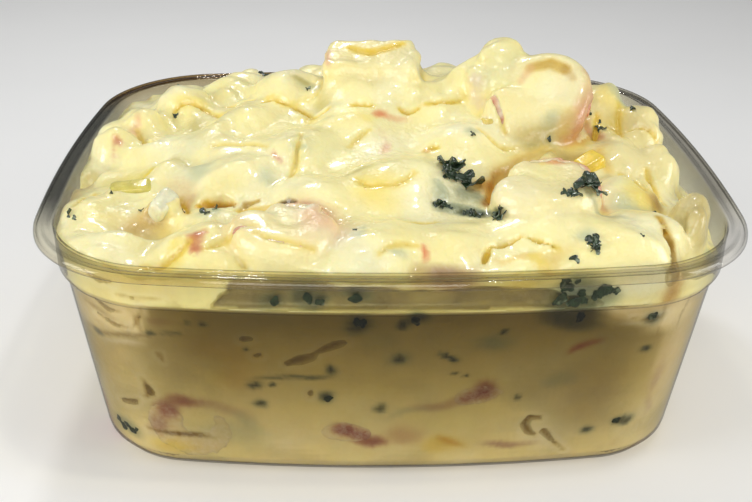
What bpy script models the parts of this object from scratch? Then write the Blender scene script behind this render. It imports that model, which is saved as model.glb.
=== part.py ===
"""Shrimp salad heaped in a clear rectangular tub.

The origin is on the floor under the middle of the tub. +X runs along the tub's long
side, -Y faces the front and +Z is up. Lengths below are in millimetres.
"""

import math
import random
from typing import NamedTuple

import bmesh
import bpy
from mathutils import Matrix, Vector, noise
from mathutils.bvhtree import BVHTree

MM = 0.001


class Outline(NamedTuple):
    """A rectangle whose corners are round and whose four sides bow outward."""

    width: float
    depth: float
    corner: float
    bow_long: float
    bow_short: float

    def inset(self, by):
        return Outline(self.width - 2 * by, self.depth - 2 * by, *(size - by for size in self[2:]))


# The tub.
RIM = Outline(width=168.0, depth=139.0, corner=32.6, bow_long=469.0, bow_short=408.0)
BASE = Outline(width=146.4, depth=117.0, corner=23.7, bow_long=408.0, bow_short=521.0)
TUB_HEIGHT = 59.4
WALL = 0.6
FLANGE_FLAT = 3.7
SHOULDER = 1.3
SKIRT_DROP = 1.9
RIM_EDGE = 0.4
LEDGE_DROP = 10.1
LEDGE_STEP = 1.4
LEDGE_FALL = 0.9
CHAMFER_HEIGHT = 4.2
CHAMFER_INSET = 2.55

# Steps along the three arcs of one quarter of an outline.
SHORT_STEPS = 2
CORNER_STEPS = 6
LONG_STEPS = 3

# The heap. Levels are where it meets the tub's four walls.
GAP = 0.3
FRONT_LEVEL = 60.0
BACK_LEVEL = 56.0
LEFT_LEVEL = 59.0
RIGHT_LEVEL = 52.0
CROWN_LEVEL = 75.0
CROWN_LEAN = 4.0
CREST_Y = 20.0
# How long each side of the heap stays high before it falls away to the wall.
LEFT_FALL = 2.4
RIGHT_FALL = 4.0
FRONT_FALL = 1.2
BACK_FALL = 1.6
HALF_WIDTH = RIM.width / 2 - FLANGE_FLAT - SHOULDER
HALF_DEPTH = RIM.depth / 2 - FLANGE_FLAT - SHOULDER
LUMP_COVER = 2.2
CEILING = 110.0
CORE_FLOOR = -5.0
CORE_RINGS = 8

# Lumps over the large size get one more split of their faces.
LUMP_ROUGHNESS = 0.2
LUMP_GRAIN = 1.3
LARGE_LUMP = 13.5


class Lump(NamedTuple):
    """A coated piece in the heap: its place, how far it stands up and its half sizes."""

    x: float
    y: float
    rise: float
    size: tuple
    turn: float = 0.0
    tip: float = 0.0


LUMPS = (
    # Left end, from the front to the back.
    Lump(-63, -52, 1.0, (13, 10, 8), 25),
    Lump(-70, -35, 1.5, (8, 13, 8)),
    Lump(-71, 1, 5.0, (6, 6, 7)),
    Lump(-65, 12, 4.5, (7, 7, 8), 30),
    Lump(-73, 11, 3.0, (5, 6, 7)),
    Lump(-55, 21, 3.5, (9, 8, 8), -20),
    Lump(-57, -3, 1.0, (9, 9, 7)),
    Lump(-53, -20, 1.0, (8, 9, 6), 15),
    # Left of the middle.
    Lump(-46, -6, 1.5, (9, 10, 7)),
    Lump(-36, 7, 1.0, (10, 9, 7), 20),
    Lump(-38, -25, 1.5, (12, 10, 7)),
    Lump(-42, 31, 1.5, (11, 10, 8)),
    Lump(-26, 22, 2.5, (11, 9, 8), -15),
    Lump(-21, -11, 1.5, (12, 10, 7), 25),
    Lump(-17, -34, 1.0, (11, 8, 7), -20),
    Lump(-42, -52, 1.5, (11, 9, 7)),
    # Middle.
    Lump(-9, -2, 1.0, (12, 10, 8)),
    Lump(-3, 8, 3.5, (14, 8, 9), -6),
    Lump(3, -28, 2.0, (17, 13, 9), 10),
    Lump(13, 7, 0.5, (11, 11, 8)),
    Lump(17, -13, 2.0, (10, 10, 8), 30),
    Lump(-4, -53, 2.0, (16, 10, 8)),
    Lump(13, -53, 1.0, (12, 10, 7)),
    # Right end, from the crest to the front.
    Lump(26, 11, 5.5, (10, 9, 10)),
    Lump(41, 9, 6.5, (11, 8, 10)),
    Lump(38, -9, -0.5, (10, 8, 8)),
    Lump(57, 9, 5.0, (8, 8, 9), 20),
    Lump(66, 2, 6.5, (7, 9, 10)),
    Lump(67, -14, 5.0, (6, 8, 9), -10),
    Lump(57, -14, 2.0, (8, 8, 7)),
    Lump(55, -32, 2.0, (8, 8, 7), 30),
    Lump(35, -21, 0.5, (5, 5, 5)),
    Lump(43, -55, 4.0, (19, 10, 9), -4),
    Lump(26, -60, 0.5, (8, 5, 5)),
    Lump(68, -40, 8.0, (4.5, 9, 11), -8, 10),
)

# The two tallest forms on the crest: a block with flat sides and a peak.
BLOCK_CENTRE = (-3.2, 16.5, 75.0)
BLOCK_SIZE = (24, 15, 17)
BLOCK_ROUNDING = 2.6
PEAK_CENTRE = (31, 11, 77)
PEAK_SIZE = (8, 9, 11)

# Lumps on the far slope, which the heap itself hides from the front.
FAR_SEED = 11
FAR_ROWS = (38, 53)
FAR_SPACING = 19
FAR_REACH = 66
FAR_JITTER = 3.0
FAR_RADIUS = (9.0, 12.5)
FAR_RISE = (-0.5, 1.0)

# Hollows cut into the heap: place, top above the slope, half sizes and turn.
HOLLOWS = (
    Lump(30, -33, 3.0, (3.5, 13, 7.5), -38),
    Lump(-41.5, -41, 2.5, (3.2, 3.0, 6)),
    Lump(-32, -42, 2.5, (1.9, 2.0, 5)),
    Lump(-24, -43.5, 2.5, (1.7, 1.6, 5)),
    Lump(59, -60, 6.0, (1.8, 8, 11), 12),
    Lump(-54, -47, 3.5, (6.5, 5.0, 4.5), 20),
)

# A curled shrimp: the radius of its curl and how far that closes towards the tail, its
# half thickness at both ends, the turn that it makes and the ridge at every other point.
CURL_RADIUS = 7.4
CURL_CLOSING = 1.2
BODY_RADIUS = 4.6
TAIL_RADIUS = 2.0
CURL_TURN = 285
SHRIMP_POINTS = 17
SEGMENT_STEP = 0.07
TAPER_POWER = 1.5
HEAD_START = 0.5
HEAD_SWELL = 0.25


class Placed(NamedTuple):
    """Where a shrimp lies: its centre, the direction that its flat side faces and its spin."""

    centre: tuple
    facing: tuple
    spin: float
    scale: float = 1.0


# On the heap the third number of a centre is its height above the heap's mean surface.
TOP_SHRIMPS = {
    "shrimp_back": Placed((39.0, -1.5, 3.8), (-0.25, -0.60, 0.76), 200, 1.25),
    "shrimp_right": Placed((35.0, -36.5, 0.2), (-0.05, -0.12, 0.99), 215, 1.18),
    "shrimp_left": Placed((-23.5, -50.0, -0.8), (0.0, -0.14, 0.99), 190, 1.04),
}
WALL_SHRIMPS = {
    "shrimp_wall_left": Placed((-46.0, -55.2, 14.5), (0.0, -1.0, 0.05), 170, 0.95),
    "shrimp_wall_middle": Placed((-10.0, -51.0, 13.5), (0.1, 0.0, 1.0), 130, 0.95),
    "shrimp_wall_right": Placed((19.5, -52.2, 25.0), (-0.2, 0.0, 1.0), 140, 0.9),
}


class Leaf(NamedTuple):
    """A ruffled scrap of herb."""

    centre: tuple
    facing: tuple
    spin: float
    length: float
    width: float
    ruffle: float


# The third number of a resting piece's centre is its height above the surface under it.
RESTING_LEAVES = {
    "herb_crevice": Leaf((17.0, -37.5, 0.6), (-0.1, -0.5, 0.85), 20, 9.0, 7.5, 1.1),
    "herb_trail": Leaf((20.5, -48.0, 0.4), (0.1, -0.3, 0.95), -22, 12.0, 4.5, 0.7),
    "herb_right": Leaf((49.0, -46.5, 0.6), (0.1, -0.4, 0.9), 25, 8.0, 5.0, 1.0),
    "herb_front": Leaf((43.0, -59.5, 0.6), (0.2, -0.7, 0.65), 100, 6.5, 3.0, 0.5),
}
WALL_LEAVES = {
    "herb_wall": Leaf((37.5, -61.2, 46.5), (0.09, -1.0, -0.12), 75, 11.5, 10.0, 0.35),
}
LEAF_THICKNESS = 0.6
LEAF_LOBE_DEPTH = 0.22
LEAF_ROUNDNESS = 2.5
LEAF_END = 0.12
LEAF_COLUMNS = 7
LEAF_ROWS = 4
RUFFLE_LENGTH = 5.0
RUFFLE_SKEW = 0.9


class Chunk(NamedTuple):
    """A cube-like piece of filling."""

    centre: tuple
    size: tuple
    turns: tuple
    colour: tuple


YELLOW = (0.82, 0.58, 0.09)
GREEN_YELLOW = (0.72, 0.62, 0.20)
WHITE = (0.88, 0.86, 0.68)
RESTING_CHUNKS = {
    "yellow_chunk": Chunk((49.5, -24.5, 0.2), (7.0, 5.5, 6.5), (20, -15, 30), YELLOW),
    "yellow_cube": Chunk((25.0, -8.0, 0.3), (4.5, 4.5, 5.0), (-20, 10, 15), YELLOW),
    "white_cube": Chunk((-52.5, -37.5, 0.6), (5.0, 7.5, 6.0), (10, 10, -25), WHITE),
    "green_chunk": Chunk((-61.0, -29.5, -0.3), (10.0, 5.0, 5.5), (5, 0, 8), GREEN_YELLOW),
}
CHUNK_ROUNDING = 0.7


def clear_scene():
    for obj in list(bpy.data.objects):
        bpy.data.objects.remove(obj)
    for mesh in list(bpy.data.meshes):
        bpy.data.meshes.remove(mesh)


def new_collection(name):
    collection = bpy.data.collections.new(name)
    bpy.context.scene.collection.children.link(collection)
    return collection


def new_material(name, colour, roughness, transmission=0.0):
    material = bpy.data.materials.new(name)
    material.use_nodes = True
    shader = material.node_tree.nodes["Principled BSDF"]
    shader.inputs["Base Color"].default_value = (*colour, 1.0)
    shader.inputs["Roughness"].default_value = roughness
    shader.inputs["Metallic"].default_value = 0.0
    shader.inputs["Transmission Weight"].default_value = transmission
    return material


def outline_points(outline):
    """Points (x, y) of an outline, counter-clockwise from its right-hand side."""
    long_centre = Vector((0, outline.depth / 2 - outline.bow_long))
    short_centre = Vector((outline.width / 2 - outline.bow_short, 0))
    long_reach = outline.bow_long - outline.corner
    short_reach = outline.bow_short - outline.corner
    line = short_centre - long_centre
    along = (long_reach**2 - short_reach**2 + line.length_squared) / (2 * line.length)
    across = math.sqrt(long_reach**2 - along**2)
    unit = line.normalized()
    side = Vector((unit.y, -unit.x))
    corner_centre = max(
        (long_centre + unit * along + side * sign * across for sign in (1, -1)), key=lambda c: c.x
    )
    to_long = corner_centre - long_centre
    to_short = corner_centre - short_centre
    long_angle = math.atan2(to_long.y, to_long.x)
    short_angle = math.atan2(to_short.y, to_short.x)
    arcs = (
        (short_centre, outline.bow_short, 0.0, short_angle, SHORT_STEPS),
        (corner_centre, outline.corner, short_angle, long_angle, CORNER_STEPS),
        (long_centre, outline.bow_long, long_angle, math.pi / 2, LONG_STEPS),
    )
    quarter = []
    for centre, radius, start, end, steps in arcs:
        for step in range(steps):
            angle = start + (end - start) * step / steps
            quarter.append(centre + radius * Vector((math.cos(angle), math.sin(angle))))
    quarter.append(Vector((0, outline.depth / 2)))
    right_back = [(p.x, p.y) for p in quarter]
    left_back = [(-x, y) for x, y in reversed(right_back[:-1])]
    back_half = right_back + left_back
    front_half = [(-x, -y) for x, y in back_half[1:-1]]
    return back_half + front_half


def ring(outline, height):
    return [Vector((x, y, height)) for x, y in outline_points(outline)]


def mesh_object(name, bm, collection):
    bmesh.ops.recalc_face_normals(bm, faces=bm.faces)
    mesh = bpy.data.meshes.new(name)
    bm.to_mesh(mesh)
    bm.free()
    obj = bpy.data.objects.new(name, mesh)
    collection.objects.link(obj)
    return obj


def loft(name, rings, collection, cap_last=True, peak=None):
    """Joins rings of equal length. The first ring is capped flat, the last one flat or to a peak."""
    bm = bmesh.new()
    loops = [[bm.verts.new(point * MM) for point in points] for points in rings]
    count = len(loops[0])
    for lower, upper in zip(loops, loops[1:]):
        for i in range(count):
            j = (i + 1) % count
            bm.faces.new((lower[i], lower[j], upper[j], upper[i]))
    bm.faces.new(list(reversed(loops[0])))
    if peak is not None:
        tip = bm.verts.new(peak * MM)
        for i in range(count):
            bm.faces.new((loops[-1][i], loops[-1][(i + 1) % count], tip))
    elif cap_last:
        bm.faces.new(loops[-1])
    return mesh_object(name, bm, collection)


def evaluated_copy(obj):
    graph = bpy.context.evaluated_depsgraph_get()
    return bpy.data.meshes.new_from_object(obj.evaluated_get(graph))


def apply_modifiers(obj):
    mesh = evaluated_copy(obj)
    obj.modifiers.clear()
    obj.data = mesh


def boolean(obj, operation, other, solver="EXACT"):
    """Combines obj with another object, or with every object of a collection."""
    modifier = obj.modifiers.new(operation.title(), "BOOLEAN")
    modifier.operation = operation
    modifier.solver = solver
    if isinstance(other, bpy.types.Collection):
        modifier.operand_type = "COLLECTION"
        modifier.collection = other
    else:
        modifier.object = other
    apply_modifiers(obj)


def keep_largest_part(obj):
    """Drops the loose scraps that cutting leaves."""
    bm = bmesh.new()
    bm.from_mesh(obj.data)
    left = set(bm.verts)
    parts = []
    while left:
        part = {left.pop()}
        edge = list(part)
        while edge:
            vert = edge.pop()
            near = {link.other_vert(vert) for link in vert.link_edges} & left
            left -= near
            part |= near
            edge.extend(near)
        parts.append(part)
    largest = max(parts, key=len)
    bmesh.ops.delete(bm, geom=[v for v in bm.verts if v not in largest], context="VERTS")
    bm.to_mesh(obj.data)
    bm.free()


def facing_matrix(centre, facing, spin):
    """Turns a piece's local +Z to face a direction, with its local X spun about that."""
    turn = Vector((0, 0, 1)).rotation_difference(Vector(facing).normalized())
    spun = Matrix.Rotation(math.radians(spin), 4, "Z")
    return Matrix.Translation(Vector(centre) * MM) @ turn.to_matrix().to_4x4() @ spun


def make_tub(collection, material):
    """The inside and the top of the rim, thickened outward to the wall."""
    upper = RIM.inset(FLANGE_FLAT + SHOULDER)
    below_ledge = upper.inset(LEDGE_STEP)
    ledge = TUB_HEIGHT - LEDGE_DROP
    rings = (
        ring(BASE.inset(WALL + CHAMFER_INSET), WALL),
        ring(BASE.inset(WALL), CHAMFER_HEIGHT),
        ring(below_ledge, ledge - LEDGE_FALL),
        ring(upper, ledge),
        ring(upper, TUB_HEIGHT - RIM_EDGE),
        ring(upper.inset(-RIM_EDGE), TUB_HEIGHT),
        ring(RIM.inset(SHOULDER), TUB_HEIGHT),
        ring(RIM.inset(RIM_EDGE), TUB_HEIGHT - RIM_EDGE),
        ring(RIM, TUB_HEIGHT - SKIRT_DROP),
    )
    tub = loft("tub", rings, collection, cap_last=False)
    floor = max(tub.data.polygons, key=lambda face: len(face.vertices))
    if floor.normal.z < 0:
        tub.data.flip_normals()
    shell = tub.modifiers.new("Wall", "SOLIDIFY")
    shell.thickness = WALL * MM
    shell.offset = -1
    shell.use_even_offset = True
    tub.data.materials.append(material)
    return tub


def cavity_rings():
    """The tub's inside, less the gap that touching pieces keep."""
    upper = RIM.inset(FLANGE_FLAT + SHOULDER + GAP)
    below_ledge = upper.inset(LEDGE_STEP)
    ledge = TUB_HEIGHT - LEDGE_DROP
    return [
        ring(BASE.inset(WALL + CHAMFER_INSET + 0.7 * GAP), WALL + GAP),
        ring(BASE.inset(WALL + GAP), CHAMFER_HEIGHT + 0.5 * GAP),
        ring(below_ledge, ledge - LEDGE_FALL + 0.7 * GAP),
        ring(upper, ledge + 0.9 * GAP),
        ring(upper, CEILING),
    ]


def heap_height(x, y):
    """The mean height of the heap's top."""
    across = min(abs(x) / HALF_WIDTH, 1.0)
    along = (y + HALF_DEPTH) / (2 * HALF_DEPTH)
    edge = FRONT_LEVEL + (BACK_LEVEL - FRONT_LEVEL) * along
    side_level = LEFT_LEVEL if x < 0 else RIGHT_LEVEL
    edge += (side_level - edge) * across**3
    side_fall = 1 - across ** (LEFT_FALL if x < 0 else RIGHT_FALL)
    if y < CREST_Y:
        slope = 1 - min((CREST_Y - y) / (CREST_Y + HALF_DEPTH), 1.0) ** FRONT_FALL
    else:
        slope = 1 - min((y - CREST_Y) / (HALF_DEPTH - CREST_Y), 1.0) ** BACK_FALL
    crown = CROWN_LEVEL + CROWN_LEAN * x / HALF_WIDTH
    return edge + (crown - edge) * side_fall * slope


def make_core(collection):
    """The packed salad below the lumps, a little wider than the tub's inside."""
    wall = outline_points(RIM.inset(SHOULDER))
    rings = [[Vector((x, y, CORE_FLOOR)) for x, y in wall]]
    for step in range(CORE_RINGS):
        share = 1 - step / CORE_RINGS
        points = [(x * share, y * share) for x, y in wall]
        rings.append([Vector((x, y, heap_height(x, y) - LUMP_COVER)) for x, y in points])
    peak = Vector((0, 0, heap_height(0, 0) - LUMP_COVER))
    return loft("salad", rings, collection, peak=peak)


def make_ellipsoid(name, centre, size, turn, tip, collection, roughness=0.0):
    """A rounded lump. Roughness makes it uneven, as its share of the lump's size."""
    bm = bmesh.new()
    detail = 3 if max(size) > LARGE_LUMP else 2
    bmesh.ops.create_icosphere(bm, subdivisions=detail, radius=1.0)
    for vert in bm.verts:
        sample = noise.noise(vert.co * LUMP_GRAIN + Vector(centre))
        vert.co *= 1 + roughness * sample
    place = (
        Matrix.Translation(Vector(centre) * MM)
        @ Matrix.Rotation(math.radians(turn), 4, "Z")
        @ Matrix.Rotation(math.radians(tip), 4, "Y")
        @ Matrix.Diagonal((*(side * MM for side in size), 1.0))
    )
    bmesh.ops.transform(bm, matrix=place, verts=bm.verts)
    return mesh_object(name, bm, collection)


def make_lump(name, lump, collection, roughness):
    centre = (lump.x, lump.y, heap_height(lump.x, lump.y) + lump.rise - lump.size[2])
    return make_ellipsoid(name, centre, lump.size, lump.turn, lump.tip, collection, roughness)


def make_block(name, centre, size, turns, rounding, collection, segments=1):
    bm = bmesh.new()
    bmesh.ops.create_cube(bm, size=1.0)
    bmesh.ops.scale(bm, vec=[side * MM for side in size], verts=bm.verts)
    bmesh.ops.bevel(
        bm,
        geom=list(bm.edges),
        offset=rounding * MM,
        segments=segments,
        profile=0.5,
        affect="EDGES",
    )
    place = Matrix.Translation(Vector(centre) * MM)
    for axis, angle in zip("XYZ", turns):
        place = place @ Matrix.Rotation(math.radians(angle), 4, axis)
    bmesh.ops.transform(bm, matrix=place, verts=bm.verts)
    return mesh_object(name, bm, collection)


def far_lumps():
    """Seeded lumps over the far slope."""
    draw = random.Random(FAR_SEED)
    lumps = []
    for row, y in enumerate(FAR_ROWS):
        count = int(2 * FAR_REACH / FAR_SPACING)
        for column in range(count):
            x = -FAR_REACH + FAR_SPACING * (column + 0.5 * (row % 2) + 0.5)
            place = [value + draw.uniform(-FAR_JITTER, FAR_JITTER) for value in (x, y)]
            size = [draw.uniform(*FAR_RADIUS) for _ in range(3)]
            size[2] *= 0.8
            lumps.append(Lump(*place, draw.uniform(*FAR_RISE), tuple(size), draw.uniform(0, 90)))
    return lumps


def make_pieces_to_fuse(collection):
    for number, lump in enumerate(LUMPS + tuple(far_lumps())):
        make_lump(f"lump_{number}", lump, collection, LUMP_ROUGHNESS)
    make_block("block", BLOCK_CENTRE, BLOCK_SIZE, (12, -3, -6), BLOCK_ROUNDING, collection, 2)
    make_ellipsoid("peak", PEAK_CENTRE, PEAK_SIZE, 0, 0, collection, LUMP_ROUGHNESS)


def make_shrimp(name, placed, grow, collection):
    """A tapered tube along a closing curl, ridged at each segment."""
    curve = bpy.data.curves.new(name, "CURVE")
    curve.dimensions = "3D"
    curve.bevel_depth = MM
    curve.bevel_resolution = 2
    curve.use_fill_caps = True
    spline = curve.splines.new("POLY")
    spline.points.add(SHRIMP_POINTS - 1)
    for i, point in enumerate(spline.points):
        along = i / (SHRIMP_POINTS - 1)
        angle = math.radians(CURL_TURN * along)
        radius = CURL_RADIUS - CURL_CLOSING * along
        spot = Vector((math.cos(angle), math.sin(angle), 0)) * radius * placed.scale * MM
        point.co = (*spot, 1.0)
        body = BODY_RADIUS + (TAIL_RADIUS - BODY_RADIUS) * along**TAPER_POWER
        body *= 1 + SEGMENT_STEP * (i % 2)
        body *= min(1.0, HEAD_START + HEAD_SWELL * i)
        point.radius = body * placed.scale + grow
    tube = bpy.data.objects.new(name, curve)
    collection.objects.link(tube)
    tube.matrix_world = facing_matrix(placed.centre, placed.facing, placed.spin)
    bpy.context.view_layer.update()
    bm = bmesh.new()
    mesh = evaluated_copy(tube)
    bm.from_mesh(mesh)
    bmesh.ops.remove_doubles(bm, verts=bm.verts, dist=0.01 * MM)
    bmesh.ops.transform(bm, matrix=tube.matrix_world, verts=bm.verts)
    bpy.data.objects.remove(tube)
    return mesh_object(name, bm, collection)


def ruffle_height(leaf, x, y):
    along = math.sin(2 * math.pi * x / RUFFLE_LENGTH + RUFFLE_SKEW * y)
    across = math.cos(2 * math.pi * y / RUFFLE_LENGTH)
    return leaf.ruffle * (along + across) / 2


def make_leaf(name, leaf, grow, collection):
    """A lobed outline with ruffled faces. Its pocket is the same leaf, grown."""
    bm = bmesh.new()
    half_length = leaf.length / 2 + grow
    columns = []
    for i in range(LEAF_COLUMNS):
        x = half_length * (2 * i / (LEAF_COLUMNS - 1) - 1)
        share = abs(x) / half_length
        lobe = 1 - LEAF_LOBE_DEPTH * (i % 2)
        half_width = (leaf.width / 2) * math.sqrt(max(1 - share**LEAF_ROUNDNESS, LEAF_END)) * lobe + grow
        column = []
        for j in range(LEAF_ROWS):
            y = half_width * (2 * j / (LEAF_ROWS - 1) - 1)
            column.append(bm.verts.new(Vector((x, y, ruffle_height(leaf, x, y))) * MM))
        columns.append(column)
    for left, right in zip(columns, columns[1:]):
        for j in range(LEAF_ROWS - 1):
            bm.faces.new((left[j], right[j], right[j + 1], left[j + 1]))
    bmesh.ops.triangulate(bm, faces=bm.faces)
    place = facing_matrix(leaf.centre, leaf.facing, leaf.spin)
    bmesh.ops.transform(bm, matrix=place, verts=bm.verts)
    obj = mesh_object(name, bm, collection)
    sheet = obj.modifiers.new("Thickness", "SOLIDIFY")
    sheet.thickness = (LEAF_THICKNESS + 2 * grow) * MM
    sheet.offset = 0
    apply_modifiers(obj)
    return obj


def make_chunk(name, chunk, grow, collection):
    size = [side + 2 * grow for side in chunk.size]
    return make_block(name, chunk.centre, size, chunk.turns, CHUNK_ROUNDING, collection)


def make_toppings(placed, grow, collection, suffix=""):
    """Every piece that is a solid of its own, or its pocket when it is grown."""
    makers = {Placed: make_shrimp, Leaf: make_leaf, Chunk: make_chunk}
    made = {}
    for name, piece in placed.items():
        made[name] = makers[type(piece)](name + suffix, piece, grow, collection)
    return made


def settled_toppings(salad):
    """The toppings by name, each with its centre's real height."""
    bm = bmesh.new()
    bm.from_mesh(salad.data)
    surface = BVHTree.FromBMesh(bm)
    bm.free()
    placed = {**WALL_SHRIMPS, **WALL_LEAVES}
    for name, piece in TOP_SHRIMPS.items():
        x, y, lift = piece.centre
        placed[name] = piece._replace(centre=(x, y, heap_height(x, y) + lift))
    for name, piece in {**RESTING_LEAVES, **RESTING_CHUNKS}.items():
        x, y, lift = piece.centre
        spot = surface.ray_cast(Vector((x, y, CEILING)) * MM, Vector((0, 0, -1)))[0]
        placed[name] = piece._replace(centre=(x, y, spot.z / MM + lift))
    return placed


def remove_objects(collection):
    for obj in list(collection.objects):
        bpy.data.objects.remove(obj)


def main():
    clear_scene()
    parts = new_collection("shrimp_salad")
    fused = new_collection("fused_lumps")
    pockets = new_collection("pockets")
    cutters = new_collection("cutters")

    salad = make_core(parts)
    make_pieces_to_fuse(fused)
    boolean(salad, "UNION", fused)
    remove_objects(fused)
    cavity = loft("cavity", cavity_rings(), cutters)
    boolean(salad, "INTERSECT", cavity)
    placed = settled_toppings(salad)

    for number, hollow in enumerate(HOLLOWS):
        make_lump(f"hollow_{number}", hollow, pockets, 0.0)
    make_toppings(placed, GAP, pockets, "_pocket")
    boolean(salad, "DIFFERENCE", pockets)
    remove_objects(pockets)
    keep_largest_part(salad)
    salad.data.materials.clear()
    salad.data.materials.append(new_material("coated_salad", (0.86, 0.80, 0.52), 0.35))

    toppings = make_toppings(placed, 0.0, parts)
    for name in (*WALL_SHRIMPS, *WALL_LEAVES):
        boolean(toppings[name], "INTERSECT", cavity)
        keep_largest_part(toppings[name])
    remove_objects(cutters)
    shrimp = new_material("shrimp_flesh", (0.80, 0.45, 0.28), 0.4)
    herb = new_material("herb_leaf", (0.03, 0.06, 0.02), 0.5)
    for name in (*TOP_SHRIMPS, *WALL_SHRIMPS):
        toppings[name].data.materials.append(shrimp)
    for name in (*RESTING_LEAVES, *WALL_LEAVES):
        toppings[name].data.materials.append(herb)
    for name, chunk in RESTING_CHUNKS.items():
        toppings[name].data.materials.append(new_material(name, chunk.colour, 0.4))

    make_tub(parts, new_material("clear_plastic", (0.62, 0.61, 0.54), 0.08, 0.9))
    for obj in parts.objects:
        obj.data.shade_smooth()
        obj.data.set_sharp_from_angle(angle=math.radians(40))
    for collection in (fused, pockets, cutters):
        bpy.data.collections.remove(collection)


main()
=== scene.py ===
"""Looks for the shrimp salad heaped in a clear tub.

The row's frame is in metres, with +Z up and -Y to the front. Lengths below are in
millimetres, and colours are as they look on a screen, unless a comment says otherwise.
"""

import math
from typing import NamedTuple

import bpy
import numpy as np
from mathutils import Matrix, Vector


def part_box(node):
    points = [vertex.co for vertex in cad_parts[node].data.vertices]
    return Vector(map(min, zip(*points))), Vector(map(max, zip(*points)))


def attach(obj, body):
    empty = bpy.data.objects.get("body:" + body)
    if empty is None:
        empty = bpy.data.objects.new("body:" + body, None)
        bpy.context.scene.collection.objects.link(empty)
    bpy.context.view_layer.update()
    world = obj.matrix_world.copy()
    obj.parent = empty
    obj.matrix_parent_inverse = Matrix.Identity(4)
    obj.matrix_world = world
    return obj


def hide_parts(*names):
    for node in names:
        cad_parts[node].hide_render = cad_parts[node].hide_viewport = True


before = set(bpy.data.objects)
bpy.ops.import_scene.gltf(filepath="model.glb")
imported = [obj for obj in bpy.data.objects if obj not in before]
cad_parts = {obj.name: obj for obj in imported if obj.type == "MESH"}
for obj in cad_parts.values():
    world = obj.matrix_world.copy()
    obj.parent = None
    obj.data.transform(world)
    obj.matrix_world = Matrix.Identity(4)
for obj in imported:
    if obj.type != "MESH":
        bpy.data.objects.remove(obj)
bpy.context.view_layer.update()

MM = 0.001


def rows(kind, *table):
    """A table's rows, each as a thing of one kind."""
    return [kind(*row) for row in table]


class Outline(NamedTuple):
    """A rectangle whose corners are round and whose four sides bow outward."""

    width: float
    depth: float
    corner: float
    bow_long: float
    bow_short: float

    def inset(self, by):
        return Outline(self.width - 2 * by, self.depth - 2 * by, *(size - by for size in self[2:]))


# The tub, as its solid has it.
RIM = Outline(width=168.0, depth=139.0, corner=32.6, bow_long=469.0, bow_short=408.0)
BASE = Outline(width=146.4, depth=117.0, corner=23.7, bow_long=408.0, bow_short=521.0)
TUB_HEIGHT = 59.4
WALL = 0.6
FLANGE_FLAT = 3.7
SHOULDER = 1.3
SKIRT_DROP = 1.9
LEDGE_DROP = 10.1
LEDGE_STEP = 1.4
LEDGE_FALL = 0.9
CHAMFER_HEIGHT = 4.2
CHAMFER_INSET = 2.55
UPPER = RIM.inset(FLANGE_FLAT + SHOULDER)
LEDGE = TUB_HEIGHT - LEDGE_DROP
SHELF = LEDGE - LEDGE_FALL

# The tub's inside, as its outline at each of these levels.
INSIDE = {
    WALL: BASE.inset(WALL + CHAMFER_INSET),
    CHAMFER_HEIGHT: BASE.inset(WALL),
    SHELF: UPPER.inset(LEDGE_STEP),
    LEDGE: UPPER,
    TUB_HEIGHT: UPPER,
}

# Steps along the three arcs of one quarter of an outline.
SHORT_STEPS = 8
CORNER_STEPS = 20
LONG_STEPS = 10

# The heap, as its solid has it. Levels are where it meets the tub's four walls.
FRONT_LEVEL = 60.0
BACK_LEVEL = 56.0
LEFT_LEVEL = 59.0
RIGHT_LEVEL = 52.0
CROWN_LEVEL = 75.0
CROWN_LEAN = 4.0
CREST_Y = 20.0
LEFT_FALL = 2.4
RIGHT_FALL = 4.0
FRONT_FALL = 1.2
BACK_FALL = 1.6
HALF_WIDTH = UPPER.width / 2
HALF_DEPTH = UPPER.depth / 2
LUMP_COVER = 2.2
# On a slope the distance to the surface is less than the height above it.
SLOPE_SHARE = 0.92


class Lump(NamedTuple):
    """A coated piece in the heap: its place, how far it stands up and its half sizes."""

    x: float
    y: float
    rise: float
    size: tuple
    turn: float = 0.0
    tip: float = 0.0


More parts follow.
